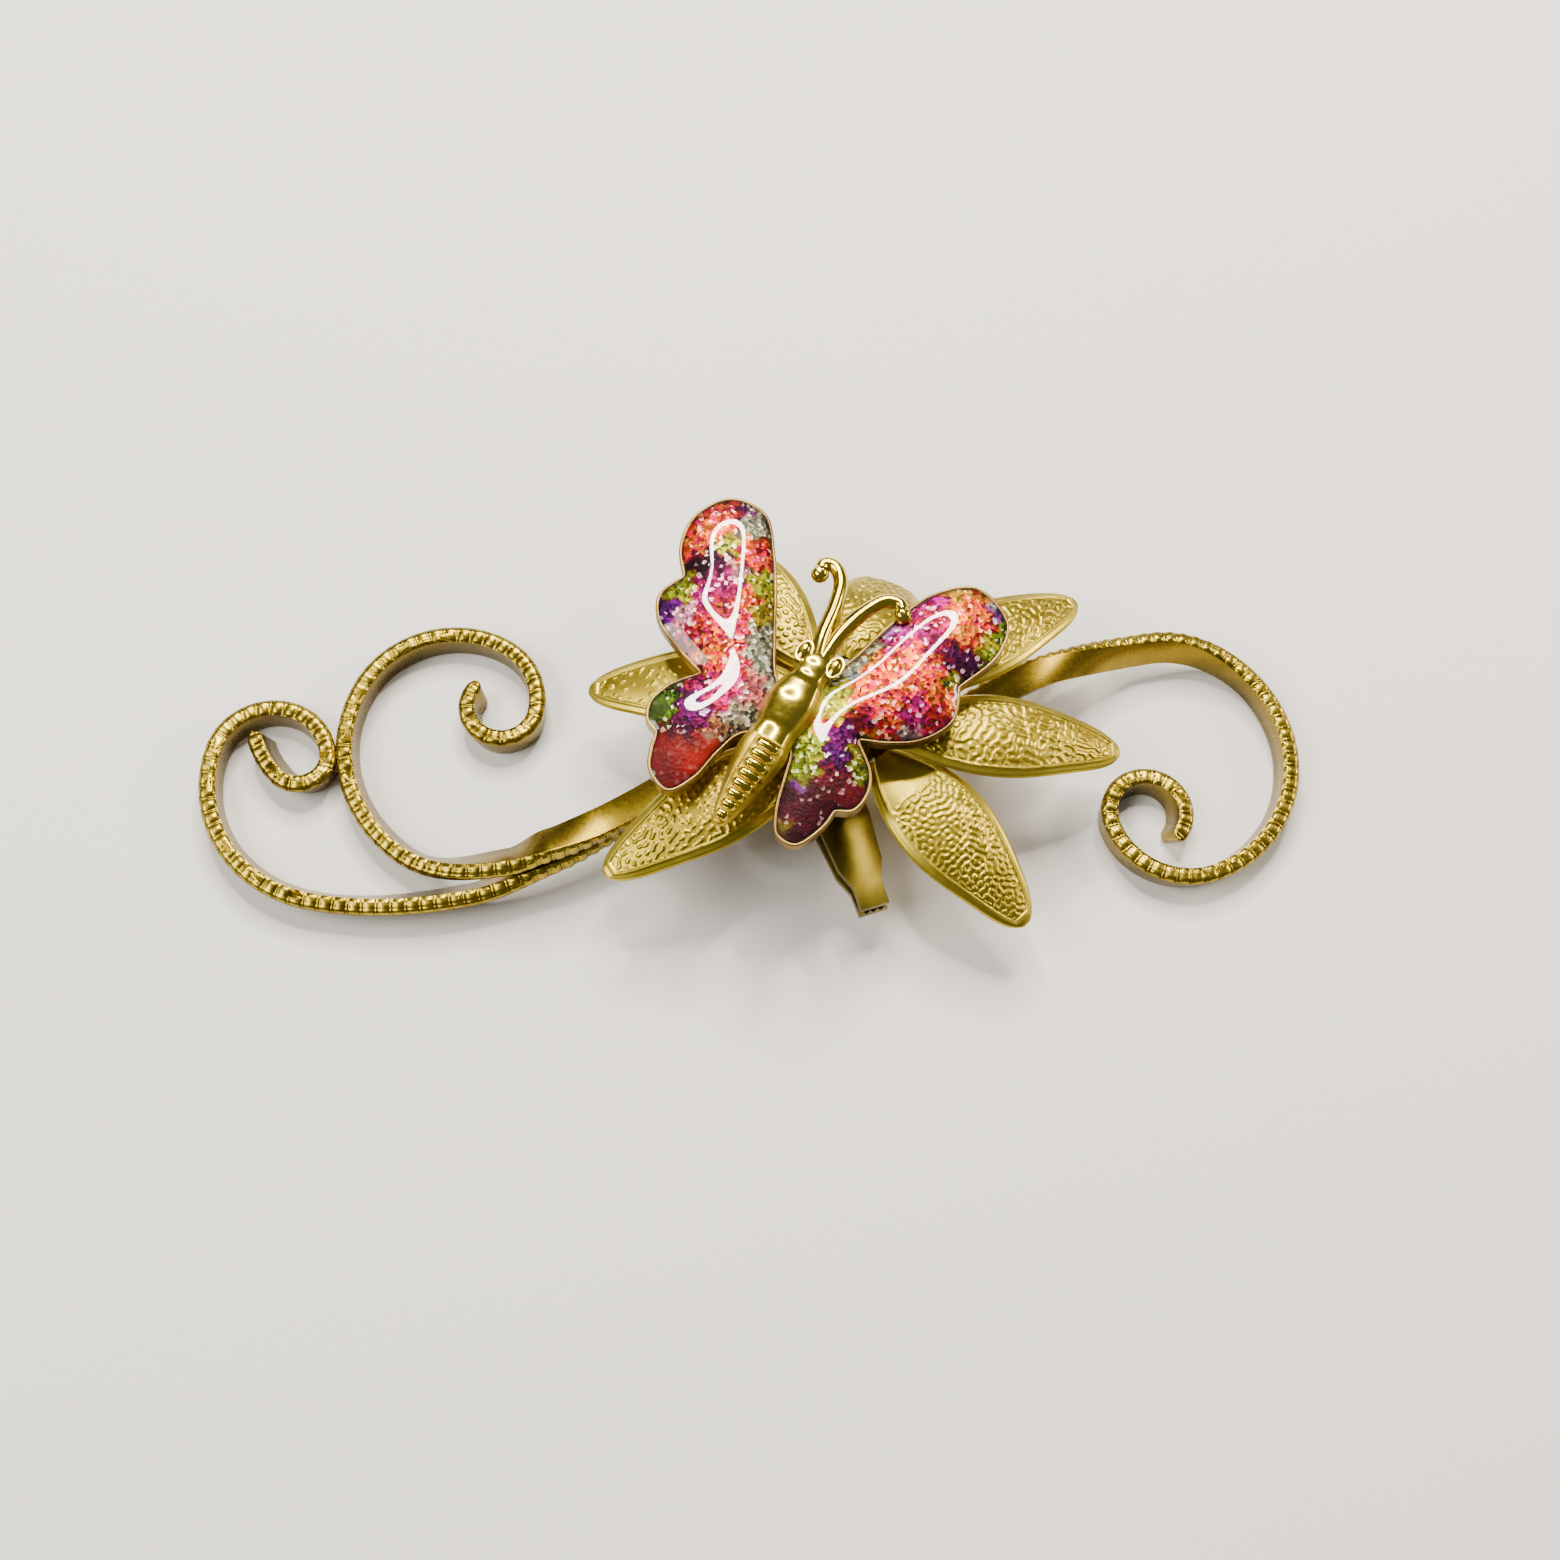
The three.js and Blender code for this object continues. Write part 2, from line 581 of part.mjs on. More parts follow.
// Lower jaw: level lever, then a nose that rises to meet the upper jaw, with teeth at its end.
function lowerJaw() {
  const noseTop = CLIP_TOP - SHEET - SMALL_GAP - TOOTH_HEIGHT;
  const back = -CLIP_LEVER_LENGTH - 1;
  const front = CLIP_JAW_LENGTH + 1;
  const bend = -1;
  const profile = new THREE.Shape();
  profile.moveTo(back, 0);
  profile.lineTo(bend, 0);
  profile.lineTo(front, noseTop - SHEET);
  profile.lineTo(front, noseTop);
  profile.lineTo(bend, SHEET);
  profile.lineTo(back, SHEET);
  profile.closePath();
  const sheet = toSolid(sidePlate(profile, 0, CLIP_LEVER_WIDTH + 2));
  let solid = sheet.intersect(toSolid(prism(clipPlan(LOWER_EAR_OUTSIDE), -1, CLIP_TOP)));
  const centre = LOWER_EAR_OUTSIDE - EAR_THICKNESS / 2;
  for (const side of [-1, 1]) solid = solid.add(ear(side * centre, SHEET / 2));
  solid = solid.subtract(pinBore(4 * centre));
  const pitch = CLIP_TIP_WIDTH / TOOTH_COUNT;
  for (let i = 0; i < TOOTH_COUNT; i += 1) {
    const tooth = new THREE.Shape();
    const y = (i - (TOOTH_COUNT - 1) / 2) * pitch;
    tooth.moveTo(y - pitch / 2, -SHEET / 2);
    tooth.lineTo(y + pitch / 2, -SHEET / 2);
    tooth.lineTo(y, TOOTH_HEIGHT);
    tooth.closePath();
    const geometry = new THREE.ExtrudeGeometry(tooth, { depth: 0.8, bevelEnabled: false });
    geometry.rotateX(Math.PI / 2);
    geometry.rotateZ(Math.PI / 2);
    geometry.translate(CLIP_JAW_LENGTH - 0.8, 0, noseTop - 0.1);
    solid = solid.add(toSolid(geometry));
  }
  return node('clip_lower_jaw', toGeometry(solid), steel());
}

function pivotPin() {
  const outer = UPPER_EAR_INSIDE + EAR_THICKNESS + SMALL_GAP;
  const head = PIN_RADIUS + 0.3;
  const profile = [
    new THREE.Vector2(0, -outer - 0.35),
    new THREE.Vector2(head, -outer - 0.35),
    new THREE.Vector2(head, -outer),
    new THREE.Vector2(PIN_RADIUS, -outer),
    new THREE.Vector2(PIN_RADIUS, outer),
    new THREE.Vector2(head, outer),
    new THREE.Vector2(head, outer + 0.35),
    new THREE.Vector2(0, outer + 0.35),
  ];
  const geometry = new THREE.LatheGeometry(profile, 24);
  geometry.translate(0, 0, PIN_HEIGHT);
  return node('clip_pivot_pin', geometry, steel());
}

// Torsion spring: coils round the pin, one leg under the upper lever and one on the lower lever.
class SpringPath extends THREE.Curve {
  getPoint(share, target = new THREE.Vector3()) {
    const leg = 4.5;
    const coil = SPRING_TURNS * 2 * Math.PI * SPRING_RADIUS;
    const total = coil + 2 * leg;
    const along = share * total;
    const halfSpan = LOWER_EAR_OUTSIDE - EAR_THICKNESS - SPRING_WIRE / 2 - 0.12;
    if (along < leg) {
      return target.set(along - leg, -halfSpan, PIN_HEIGHT - SPRING_RADIUS);
    }
    if (along > leg + coil) {
      return target.set(leg + coil - along, halfSpan, PIN_HEIGHT + SPRING_RADIUS);
    }
    const turn = ((along - leg) / coil) * (SPRING_TURNS + 0.5) * 2 * Math.PI;
    const y = -halfSpan + ((along - leg) / coil) * 2 * halfSpan;
    return target.set(SPRING_RADIUS * Math.sin(turn), y, PIN_HEIGHT - SPRING_RADIUS * Math.cos(turn));
  }
}

function torsionSpring() {
  const section = new THREE.Shape().absarc(0, 0, SPRING_WIRE / 2, 0, Math.PI * 2);
  const geometry = new THREE.ExtrudeGeometry(section, {
    steps: 80, curveSegments: 3, extrudePath: new SpringPath(), bevelEnabled: false,
  });
  return node('clip_spring', geometry, springSteel());
}

// ---- Assembly ---------------------------------------------------------------

function clip() {
  const group = new THREE.Group();
  group.position.set(CLIP_PIVOT_X, CLIP_PIVOT_Y, 0);
  group.rotation.z = rad(CLIP_ANGLE);
  group.add(upperJaw(), lowerJaw(), pivotPin(), torsionSpring());
  return group;
}

const ornament = new THREE.Group();
ornament.add(clip(), backingPlate(), centrePost());
ornament.add(outerLeftScroll(), innerLeftScroll(), rightScroll());
ornament.add(...leaves());
ornament.add(butterflyCasting());
const leftDome = { x: -2.6, y: 6.4, radiusX: 10, radiusY: 17, turn: 0 };
ornament.add(enamel('left_wing_enamel', LEFT_WING, leftDome, 0x9c3a6e));
const rightDome = { x: 9, y: 0.8, radiusX: 15, radiusY: 13, turn: 40 };
ornament.add(enamel('right_wing_enamel', RIGHT_WING, rightDome, 0xc2452c));

// The origin is under the centre of the whole part's box.
const box = new THREE.Box3().setFromObject(ornament, true);
ornament.position.set(-(box.min.x + box.max.x) / 2, -(box.min.y + box.max.y) / 2, 0);

export default ornament;
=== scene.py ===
"""Butterfly hair clip: gold-plated leaves and milled scrolls on a sprung alligator clip.

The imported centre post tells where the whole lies, and the clip's pieces are eased copies of
their solids. The other pieces are made here with their fine shape: the milled edges, the
stamped leaves, the ribbed body, the coiled spring and the domed glitter resin.
"""

import logging
import math
from collections.abc import Callable
from dataclasses import dataclass, field
from enum import Enum

import bpy
import numpy as np
from mathutils import Matrix, Vector


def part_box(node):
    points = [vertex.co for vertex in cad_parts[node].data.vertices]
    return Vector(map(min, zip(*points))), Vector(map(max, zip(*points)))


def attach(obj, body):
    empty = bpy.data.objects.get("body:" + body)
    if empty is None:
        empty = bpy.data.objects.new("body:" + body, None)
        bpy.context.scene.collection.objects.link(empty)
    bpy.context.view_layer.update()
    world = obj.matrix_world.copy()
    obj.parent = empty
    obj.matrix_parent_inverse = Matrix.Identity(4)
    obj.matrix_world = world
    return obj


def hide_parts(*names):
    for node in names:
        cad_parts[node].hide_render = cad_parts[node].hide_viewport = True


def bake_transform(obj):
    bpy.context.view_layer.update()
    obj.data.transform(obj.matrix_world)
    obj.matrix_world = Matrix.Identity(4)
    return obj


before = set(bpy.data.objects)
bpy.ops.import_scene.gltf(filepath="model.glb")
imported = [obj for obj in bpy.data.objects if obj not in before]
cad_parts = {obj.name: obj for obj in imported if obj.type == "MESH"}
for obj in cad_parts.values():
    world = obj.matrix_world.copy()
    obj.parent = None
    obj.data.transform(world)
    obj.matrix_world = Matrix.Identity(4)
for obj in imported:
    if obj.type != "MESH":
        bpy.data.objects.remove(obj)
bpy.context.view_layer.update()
LOG = logging.getLogger("hair_clip")
MM = 0.001

# Takes shares along a piece and turns round it, both 0..1, and gives places in millimetres.
Shape = Callable[[np.ndarray, np.ndarray], np.ndarray]

# ---------------------------------------------------------------------------
# Small tools
# ---------------------------------------------------------------------------


def linear(hex_colour: str) -> tuple[float, float, float, float]:
    """Turns an sRGB hex colour into the linear colour that a shader socket takes.

    Args:
        hex_colour: Six hex digits, such as "B8923C".

    Returns:
        The linear red, green and blue, and an alpha of one.
    """
    channels = [int(hex_colour[i : i + 2], 16) / 255 for i in (0, 2, 4)]
    turned = [c / 12.92 if c <= 0.04045 else ((c + 0.055) / 1.055) ** 2.4 for c in channels]
    return (*turned, 1.0)


def smooth(value: np.ndarray | float) -> np.ndarray | float:
    """Eases 0..1 with level ends."""
    clipped = np.clip(value, 0.0, 1.0)
    return clipped * clipped * (3 - 2 * clipped)


def deselect() -> None:
    """Leaves edit mode and clears the selection."""
    if bpy.context.object and bpy.context.object.mode != "OBJECT":
        bpy.ops.object.mode_set(mode="OBJECT")
    bpy.ops.object.select_all(action="DESELECT")


def pick(piece: bpy.types.Object) -> None:
    """Makes one piece the only selected and active object.

    Args:
        piece: The piece.
    """
    deselect()
    piece.select_set(True)
    bpy.context.view_layer.objects.active = piece


def coordinates(piece: bpy.types.Object) -> np.ndarray:
    """Reads the piece's vertices.

    Args:
        piece: A mesh object.

    Returns:
        The vertices as an array of rows, in metres.
    """
    flat = np.empty(len(piece.data.vertices) * 3)
    piece.data.vertices.foreach_get("co", flat)
    return flat.reshape(-1, 3)


def place(piece: bpy.types.Object, points: np.ndarray) -> None:
    """Moves the piece's vertices to new places, in metres."""
    piece.data.vertices.foreach_set("co", np.ascontiguousarray(points, dtype=float).ravel())
    piece.data.update()


def settle(piece: bpy.types.Object, angle: float = 60.0, outward: bool = True) -> None:
    """Applies the piece's place, turns its faces outwards and shades it smooth.

    Args:
        piece: The piece to finish.
        angle: Edges sharper than this many degrees stay crisp.
        outward: False leaves the faces as they are.
    """
    pick(piece)
    bpy.ops.object.transform_apply(location=True, rotation=True, scale=True)
    if outward:
        bpy.ops.object.mode_set(mode="EDIT")
        bpy.ops.mesh.select_all(action="SELECT")
        bpy.ops.mesh.normals_make_consistent(inside=False)
        bpy.ops.object.mode_set(mode="OBJECT")
    bpy.ops.object.shade_smooth_by_angle(angle=math.radians(angle))


def apply_modifiers(piece: bpy.types.Object) -> None:
    """Applies every modifier on the piece, first to last."""
    pick(piece)
    for name in [modifier.name for modifier in piece.modifiers]:
        bpy.ops.object.modifier_apply(modifier=name)


def join(name: str, parts: list[bpy.types.Object]) -> bpy.types.Object:
    """Joins finished meshes into one piece.

    Args:
        name: The name of the joined piece.
        parts: The meshes, all at the origin.

    Returns:
        The joined piece.
    """
    deselect()
    for part in parts:
        part.select_set(True)
    bpy.context.view_layer.objects.active = parts[0]
    bpy.ops.object.join()
    parts[0].name = name
    return parts[0]


def bar(name: str, sides: int, stations: int) -> bpy.types.Object:
    """Makes a straight round bar along Z that is cut into even stations.

    Args:
        name: The piece's name.
        sides: Vertices round the bar.
        stations: The fewest divisions along it.

    Returns:
        A bar of radius one metre, from z = 0 to z = 1.
    """
    deselect()
    bpy.ops.mesh.primitive_cylinder_add(
        vertices=sides, radius=1.0, depth=1.0, end_fill_type="NGON", location=(0, 0, 0.5)
    )
    piece = bpy.context.object
    piece.name = name
    bpy.ops.object.transform_apply(location=True, rotation=True, scale=True)
    cuts = math.ceil(math.sqrt(stations))
    for _ in range(2):
        bpy.ops.object.mode_set(mode="EDIT")
        bpy.ops.mesh.select_mode(type="EDGE")
        bpy.ops.mesh.select_all(action="DESELECT")
        bpy.ops.object.mode_set(mode="OBJECT")
        points = coordinates(piece)
        for edge in piece.data.edges:
            low, high = (points[v] for v in edge.vertices)
            edge.select = abs(high[2] - low[2]) > 1e-9
        bpy.ops.object.mode_set(mode="EDIT")
        bpy.ops.mesh.subdivide(number_cuts=cuts - 1)
    bpy.ops.object.mode_set(mode="OBJECT")
    return piece


def sweep(name: str, sides: int, stations: int, shape: Shape) -> bpy.types.Object:
    """Bends a bar into a swept solid.

    Args:
        name: The piece's name.
        sides: Vertices round the section.
        stations: Divisions along the path.
        shape: Gives the place of each vertex.

    Returns:
        The swept piece, at the origin, with its faces outwards.
    """
    piece = bar(name, sides, stations)
    points = coordinates(piece)
    around = np.mod(np.arctan2(points[:, 1], points[:, 0]) / (2 * np.pi), 1.0)
    place(piece, shape(np.clip(points[:, 2], 0, 1), around) * MM)
    settle(piece)
    return piece


def ring(name: str, sides: int, stations: int, shape: Shape) -> bpy.types.Object:
    """Bends a torus into a closed swept loop.

    Args:
        name: The piece's name.
        sides: Vertices round the section.
        stations: Divisions along the loop.
        shape: Gives the place of each vertex.

    Returns:
        The looped piece, at the origin, with its faces outwards.
    """
    deselect()
    bpy.ops.mesh.primitive_torus_add(
        major_segments=stations, minor_segments=sides, major_radius=2.0, minor_radius=0.5
    )
    piece = bpy.context.object
    piece.name = name
    points = coordinates(piece)
    along = np.mod(np.arctan2(points[:, 1], points[:, 0]) / (2 * np.pi), 1.0)
    reach = np.hypot(points[:, 0], points[:, 1]) - 2.0
    around = np.mod(np.arctan2(points[:, 2], reach) / (2 * np.pi), 1.0)
    place(piece, shape(along, around) * MM)
    settle(piece)
    return piece


def spline(knots: list, count: int) -> np.ndarray:
    """Draws a centripetal Catmull-Rom curve through its knots.

    Args:
        knots: Points of two or three numbers.
        count: Points wanted between each pair of knots.

    Returns:
        The points of the curve, one row each.
    """
    points = np.array(knots, dtype=float)
    points = np.vstack([2 * points[0] - points[1], points, 2 * points[-1] - points[-2]])
    drawn = []
    for i in range(1, len(points) - 2):
        p0, p1, p2, p3 = points[i - 1 : i + 3]
        t1 = np.linalg.norm(p1 - p0) ** 0.5
        t2 = t1 + np.linalg.norm(p2 - p1) ** 0.5
        t3 = t2 + np.linalg.norm(p3 - p2) ** 0.5
        for t in np.linspace(t1, t2, count, endpoint=False):
            a1 = p0 + (p1 - p0) * (t / t1)
            a2 = p1 + (p2 - p1) * ((t - t1) / (t2 - t1))
            a3 = p2 + (p3 - p2) * ((t - t2) / (t3 - t2))
            b1 = a1 + (a2 - a1) * (t / t2)
            b2 = a2 + (a3 - a2) * ((t - t1) / (t3 - t1))
            drawn.append(b1 + (b2 - b1) * ((t - t1) / (t2 - t1)))
    drawn.append(points[-2])
    return np.array(drawn)


def even(points: np.ndarray, shares: np.ndarray, closed: bool = False) -> np.ndarray:
    """Reads a drawn line at even shares of its length.

    Args:
        points: The line's points, one row each.
        shares: Shares of the length, 0..1.
        closed: True if the line returns to its first point.

    Returns:
        One row for each share.
    """
    line = np.vstack([points, points[:1]]) if closed else points
    steps = np.linalg.norm(np.diff(line, axis=0), axis=1)
    run = np.concatenate([[0], np.cumsum(steps)])
    columns = [np.interp(shares * run[-1], run, line[:, i]) for i in range(line.shape[1])]
    return np.stack(columns, axis=1)


# ---------------------------------------------------------------------------
# Finishes
# ---------------------------------------------------------------------------


class Graph:
    """The node tree of one material."""

    def __init__(self, name: str) -> None:
        """Starts an empty material of that name.

        Args:
            name: The material's name.
        """
        self.material = bpy.data.materials.new(name)
        self.material.use_nodes = True
        self.tree = self.material.node_tree
        self.tree.nodes.clear()

    def add(self, kind: str, settings: dict | None = None, **inputs) -> bpy.types.Node:
        """Adds one node with its settings and links.

        Args:
            kind: The node's type, without its ShaderNode prefix.
            settings: Attributes of the node to set.
            **inputs: A value, or an output socket to link, for each input. A name such as
                "Base_Color" stands for "Base Color", and "in0" for the first input.

        Returns:
            The new node.
        """
        made = self.tree.nodes.new("ShaderNode" + kind)
        for key, value in (settings or {}).items():
            setattr(made, key, value)
        for key, value in inputs.items():
            numbered = key.startswith("in") and key[2:].isdigit()
            socket = made.inputs[int(key[2:])] if numbered else made.inputs[key.replace("_", " ")]
            if isinstance(value, bpy.types.NodeSocket):
                self.tree.links.new(value, socket)
            else:
                socket.default_value = value
        return made

    def ramp(self, source: bpy.types.NodeSocket, stops: list) -> bpy.types.NodeSocket:
        """Adds a colour ramp.

        Args:
            source: What drives it.
            stops: Pairs of position and colour.

        Returns:
            The ramp's colour output.
        """
        made = self.add("ValToRGB", Fac=source)
        ramp = made.color_ramp
        while len(ramp.elements) < len(stops):
            ramp.elements.new(0.5)
        for element, (position, colour) in zip(ramp.elements, stops):
            element.position = position
            element.color = colour
        return made.outputs["Color"]

    def multiply(self, first: bpy.types.NodeSocket, second: bpy.types.NodeSocket) -> bpy.types.NodeSocket:
        """Multiplies two colours.

        Args:
            first: One colour.
            second: The other.

        Returns:
            Their product.
        """
        settings = {"data_type": "RGBA", "blend_type": "MULTIPLY"}
        return self.add("Mix", settings, Factor=1.0, in6=first, in7=second).outputs[2]

    def finish(self, shader: bpy.types.Node) -> bpy.types.Material:
        """Links the shader to the output.

        Args:
            shader: The last shader node.

        Returns:
            The finished material.
        """
        self.add("OutputMaterial", Surface=shader.outputs[0])
        return self.material


@dataclass(frozen=True)
class GoldPlate:
    """Thin gold plating over brass: warm, slightly uneven, browner and darker in recesses, partly from
    tarnish and partly as painted shade.

    The plating copies the surface below it, so the grain and handling marks of the stamping
    or rolling show through as roughness that changes from place to place.
    """

    name: str
    bright: str
    deep: str
    roughness: float
    grain_mm: float
    grain_height_mm: float
    streak: tuple[float, float, float] = (1.0, 1.0, 1.0)
    recess: bool = False
    polish: bool = False

    def material(self) -> bpy.types.Material:
        """Builds the plating.

        Returns:
            The material.
        """
        g = Graph(self.name)
        place_of = g.add("TexCoord").outputs["Object"]
        stretched = g.add("Mapping", Vector=place_of, Scale=self.streak).outputs["Vector"]
        # Cloudy tone of the plating, a few millimetres across.
        cloud = g.add("TexNoise", Vector=place_of, Scale=0.22 / MM, Detail=4.0, Roughness=0.55)
        tone = g.ramp(cloud.outputs["Fac"], [(0.3, linear(self.deep)), (0.7, linear(self.bright))])
        grain = g.add("TexNoise", Vector=stretched, Scale=1 / (self.grain_mm * MM), Detail=3.0, Roughness=0.6)
        # Fine scratches from handling, drawn coarser than the real 0.01 mm so that they show.
        drawn_out = g.add("Mapping", Vector=place_of, Rotation=(0.0, 0.0, 0.7), Scale=(0.08, 1.0, 1.0))
        scratch = g.add("TexNoise", Vector=drawn_out.outputs[0], Scale=9.0 / MM, Detail=2.0)
        scaled = {"operation": "MULTIPLY_ADD"}
        worn = g.add("Math", scaled, in0=grain.outputs["Fac"], in1=0.16, in2=self.roughness - 0.08)
        rough = g.add("Math", scaled, in0=scratch.outputs["Fac"], in1=0.10, in2=worn.outputs[0])
        colour = tone
        if self.recess:
            # Recesses get a browner, darker tone: partly tarnish where polishing never reached, partly
            # painted shade.
            low = g.add("Attribute", {"attribute_name": "relief"}).outputs["Fac"]
            recess_tarnish_and_shade = g.ramp(
                low, [(0.0, (0.44, 0.38, 0.24, 1)), (0.45, (0.82, 0.78, 0.66, 1)), (0.8, (1, 1, 1, 1))]
            )
            colour = g.multiply(tone, recess_tarnish_and_shade)
            if self.polish:
                # Handling and buffing only reach what stands up, so the highest parts are glossier.
                rough = g.add(
                    "Math", {"operation": "MULTIPLY"}, in0=rough.outputs[0],
                    in1=g.ramp(low, [(0.45, (2.5, 2.5, 2.5, 1)), (0.85, (0.8, 0.8, 0.8, 1))]),
                )
        bump = g.add("Bump", Strength=0.35, Distance=self.grain_height_mm * MM, Height=grain.outputs["Fac"])
        fine = g.add(
            "Bump", Strength=0.2, Distance=0.004 * MM, Height=scratch.outputs["Fac"], Normal=bump.outputs[0]
        )
        shader = g.add(
            "BsdfPrincipled", Base_Color=colour, Metallic=1.0, Roughness=rough.outputs[0],
            Normal=fine.outputs[0],
        )
        return g.finish(shader)


@dataclass(frozen=True)
class GlitterResin:
    """Clear glossy doming resin over coloured foil glitter.

    Each fleck is a flat scrap of foil with its own tone and tilt: most show their colour, and a few carry a
    painted glint, a paler colour as if they faced the light. The resin above is smooth, so highlights lie
    sharp on top.
    """

    name: str
    fleck_mm: float = 0.27

    def material(self) -> bpy.types.Material:
        """Builds the resin.

        Returns:
            The material.
        """
        g = Graph(self.name)
        place_of = g.add("TexCoord").outputs["Object"]
        # Flecks drawn 0.27 mm across, a little over the real ones, so that each still shows.
        flecks = g.add(
            "TexVoronoi", {"voronoi_dimensions": "3D"}, Vector=place_of, Scale=1 / (self.fleck_mm * MM),
            Randomness=1.0,
        )
        patch = g.add("Attribute", {"attribute_name": "patch"})
        amount = g.add("Attribute", {"attribute_name": "glitter"}).outputs["Fac"]
        rim = g.add("Attribute", {"attribute_name": "rim"}).outputs["Fac"]
        split = g.add("SeparateColor", {"mode": "RGB"}, Color=flecks.outputs["Color"])
        hue = g.add("Math", {"operation": "MULTIPLY_ADD"}, in0=split.outputs[0], in1=0.07, in2=0.465)
        greys = [(0.0, (0.06, 0.06, 0.06, 1)), (0.5, (0.36, 0.36, 0.36, 1)), (1.0, (1, 1, 1, 1))]
        tone = g.ramp(split.outputs[1], greys)
        deep = g.add("Gamma", Color=patch.outputs["Color"], Gamma=1.75)
        varied = g.add("HueSaturation", Hue=hue.outputs[0], Saturation=1.35, Color=deep.outputs[0])
        toned = g.multiply(varied.outputs[0], tone)
        # Painted glints: one fleck in twelve gets a paler version of its own colour, as if it faced the
        # light.
        painted_glint = g.ramp(split.outputs[2], [(0.91, (0, 0, 0, 1)), (0.92, (1, 1, 1, 1))])
        pale = g.add(
            "Mix", {"data_type": "RGBA"}, Factor=0.3, in6=patch.outputs["Color"], in7=(1.0, 0.86, 0.7, 1)
        ).outputs[2]
        with_painted_glints = g.add("Mix", {"data_type": "RGBA"}, Factor=painted_glint, in6=toned, in7=pale).outputs[2]
        # A broad gentle clouding of the coloured resin where there is no glitter.
        cloud = g.add("TexNoise", Vector=place_of, Scale=0.5 / MM, Detail=4.0)
        murk = g.ramp(cloud.outputs["Fac"], [(0.35, (0.30, 0.25, 0.25, 1)), (0.7, (0.85, 0.8, 0.8, 1))])
        clear = g.multiply(deep.outputs[0], murk)
        colour = g.add("Mix", {"data_type": "RGBA"}, Factor=amount, in6=clear, in7=with_painted_glints).outputs[2]
        # Painted shade: the resin darkens within half a millimetre of the rim, where it meets the raised
        # bead.
        shade = g.ramp(rim, [(0.0, (0.10, 0.06, 0.05, 1)), (0.6, (0.8, 0.78, 0.78, 1)), (1.0, (1, 1, 1, 1))])
        darkened = g.multiply(colour, shade)
        metal = g.add("Math", {"operation": "MULTIPLY"}, in0=amount, in1=0.65)
        tilt = g.add("Bump", Strength=0.5, Distance=0.05 * MM, Height=flecks.outputs["Distance"])
        shader = g.add(
            "BsdfPrincipled", Base_Color=darkened, Metallic=metal.outputs[0], Roughness=0.4,
            Normal=tilt.outputs[0], Specular_IOR_Level=0.1, Coat_Weight=1.0, Coat_Roughness=0.02,
            Coat_IOR=1.5,
        )
        return g.finish(shader)


STAMPED_LEAF = GoldPlate("gold_plated_brass_stamped", "CBB440", "A08C28", 0.31, 0.35, 0.012, recess=True)
MILLED_STRIP = GoldPlate("gold_plated_brass_milled_strip", "B8A038", "8A7620", 0.24, 0.3, 0.008, recess=True)
CAST_BODY = GoldPlate(
    "gold_plated_casting_polished", "DEC648", "B69C2C", 0.13, 0.5, 0.004, recess=True, polish=True
)
# The cell's dark brown is partly tarnish and partly painted shade along the rim.
CAST_CELL = GoldPlate("gold_plated_cell_tarnished", "A88A4A", "5A3E22", 0.28, 0.4, 0.006)
ROLLED_SHEET = GoldPlate(
    "gold_plated_sheet_satin", "B8A038", "8C7824", 0.34, 0.25, 0.006, streak=(0.25, 1.0, 1.0)
)
# The clip's colours are darkened as painted shade, for the shadow that the wings cast on it.
CLIP_SHEET = GoldPlate(
    "gold_plated_spring_steel_brushed", "94802E", "5E5018", 0.3, 0.2, 0.005, streak=(1.0, 0.2, 1.0)
)
SPRING_WIRE = GoldPlate("spring_steel_wire_drawn", "A9A395", "8B8577", 0.32, 0.15, 0.005)

# ---------------------------------------------------------------------------
# Placing
# ---------------------------------------------------------------------------


def middle(node: str) -> Vector:
    """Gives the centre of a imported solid's box, in millimetres."""
    low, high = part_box(node)
    return (Vector(low) + Vector(high)) / 2 / MM


# Sizes below are drawn from one datum, in which the post's centre is HUB; OFFSET moves them into place.
HUB = Vector((4.4, 2.4, 0.0))
SHIFT = middle("centre_post") - HUB
SHIFT.z = 0.0
OFFSET = np.array([SHIFT.x, SHIFT.y, 0.0])


def dress(
    piece: bpy.types.Object, finish: GoldPlate | GlitterResin, body: str, slot: str, *nodes: str
) -> None:
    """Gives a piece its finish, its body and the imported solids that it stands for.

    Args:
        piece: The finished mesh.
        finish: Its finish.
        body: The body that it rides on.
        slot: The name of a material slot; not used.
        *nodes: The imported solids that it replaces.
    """
    piece.data.materials.clear()
    piece.data.materials.append(SHOP.material(finish))
    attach(piece, body)
    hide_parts(*nodes)
    LOG.info("%s: %d faces", piece.name, len(piece.data.polygons))


class FinishShop:
    """Builds each finish once and hands out its material."""

    def __init__(self) -> None:
        """Starts with nothing built."""
        self.made: dict[str, bpy.types.Material] = {}

    def material(self, finish: GoldPlate | GlitterResin) -> bpy.types.Material:
        """Gives the material of a finish, building it the first time."""
        if finish.name not in self.made:
            self.made[finish.name] = finish.material()
        return self.made[finish.name]


SHOP = FinishShop()


def note(piece: bpy.types.Object, name: str, values: np.ndarray) -> None:
    """Stores one number at each vertex, for the finish to read.

    Args:
        piece: The mesh object.
        name: The attribute's name.
        values: One number for each vertex.
    """
    made = piece.data.attributes.new(name, "FLOAT", "POINT")
    made.data.foreach_set("value", np.ascontiguousarray(values, dtype=np.float32))


# ---------------------------------------------------------------------------
# Leaves
# ---------------------------------------------------------------------------


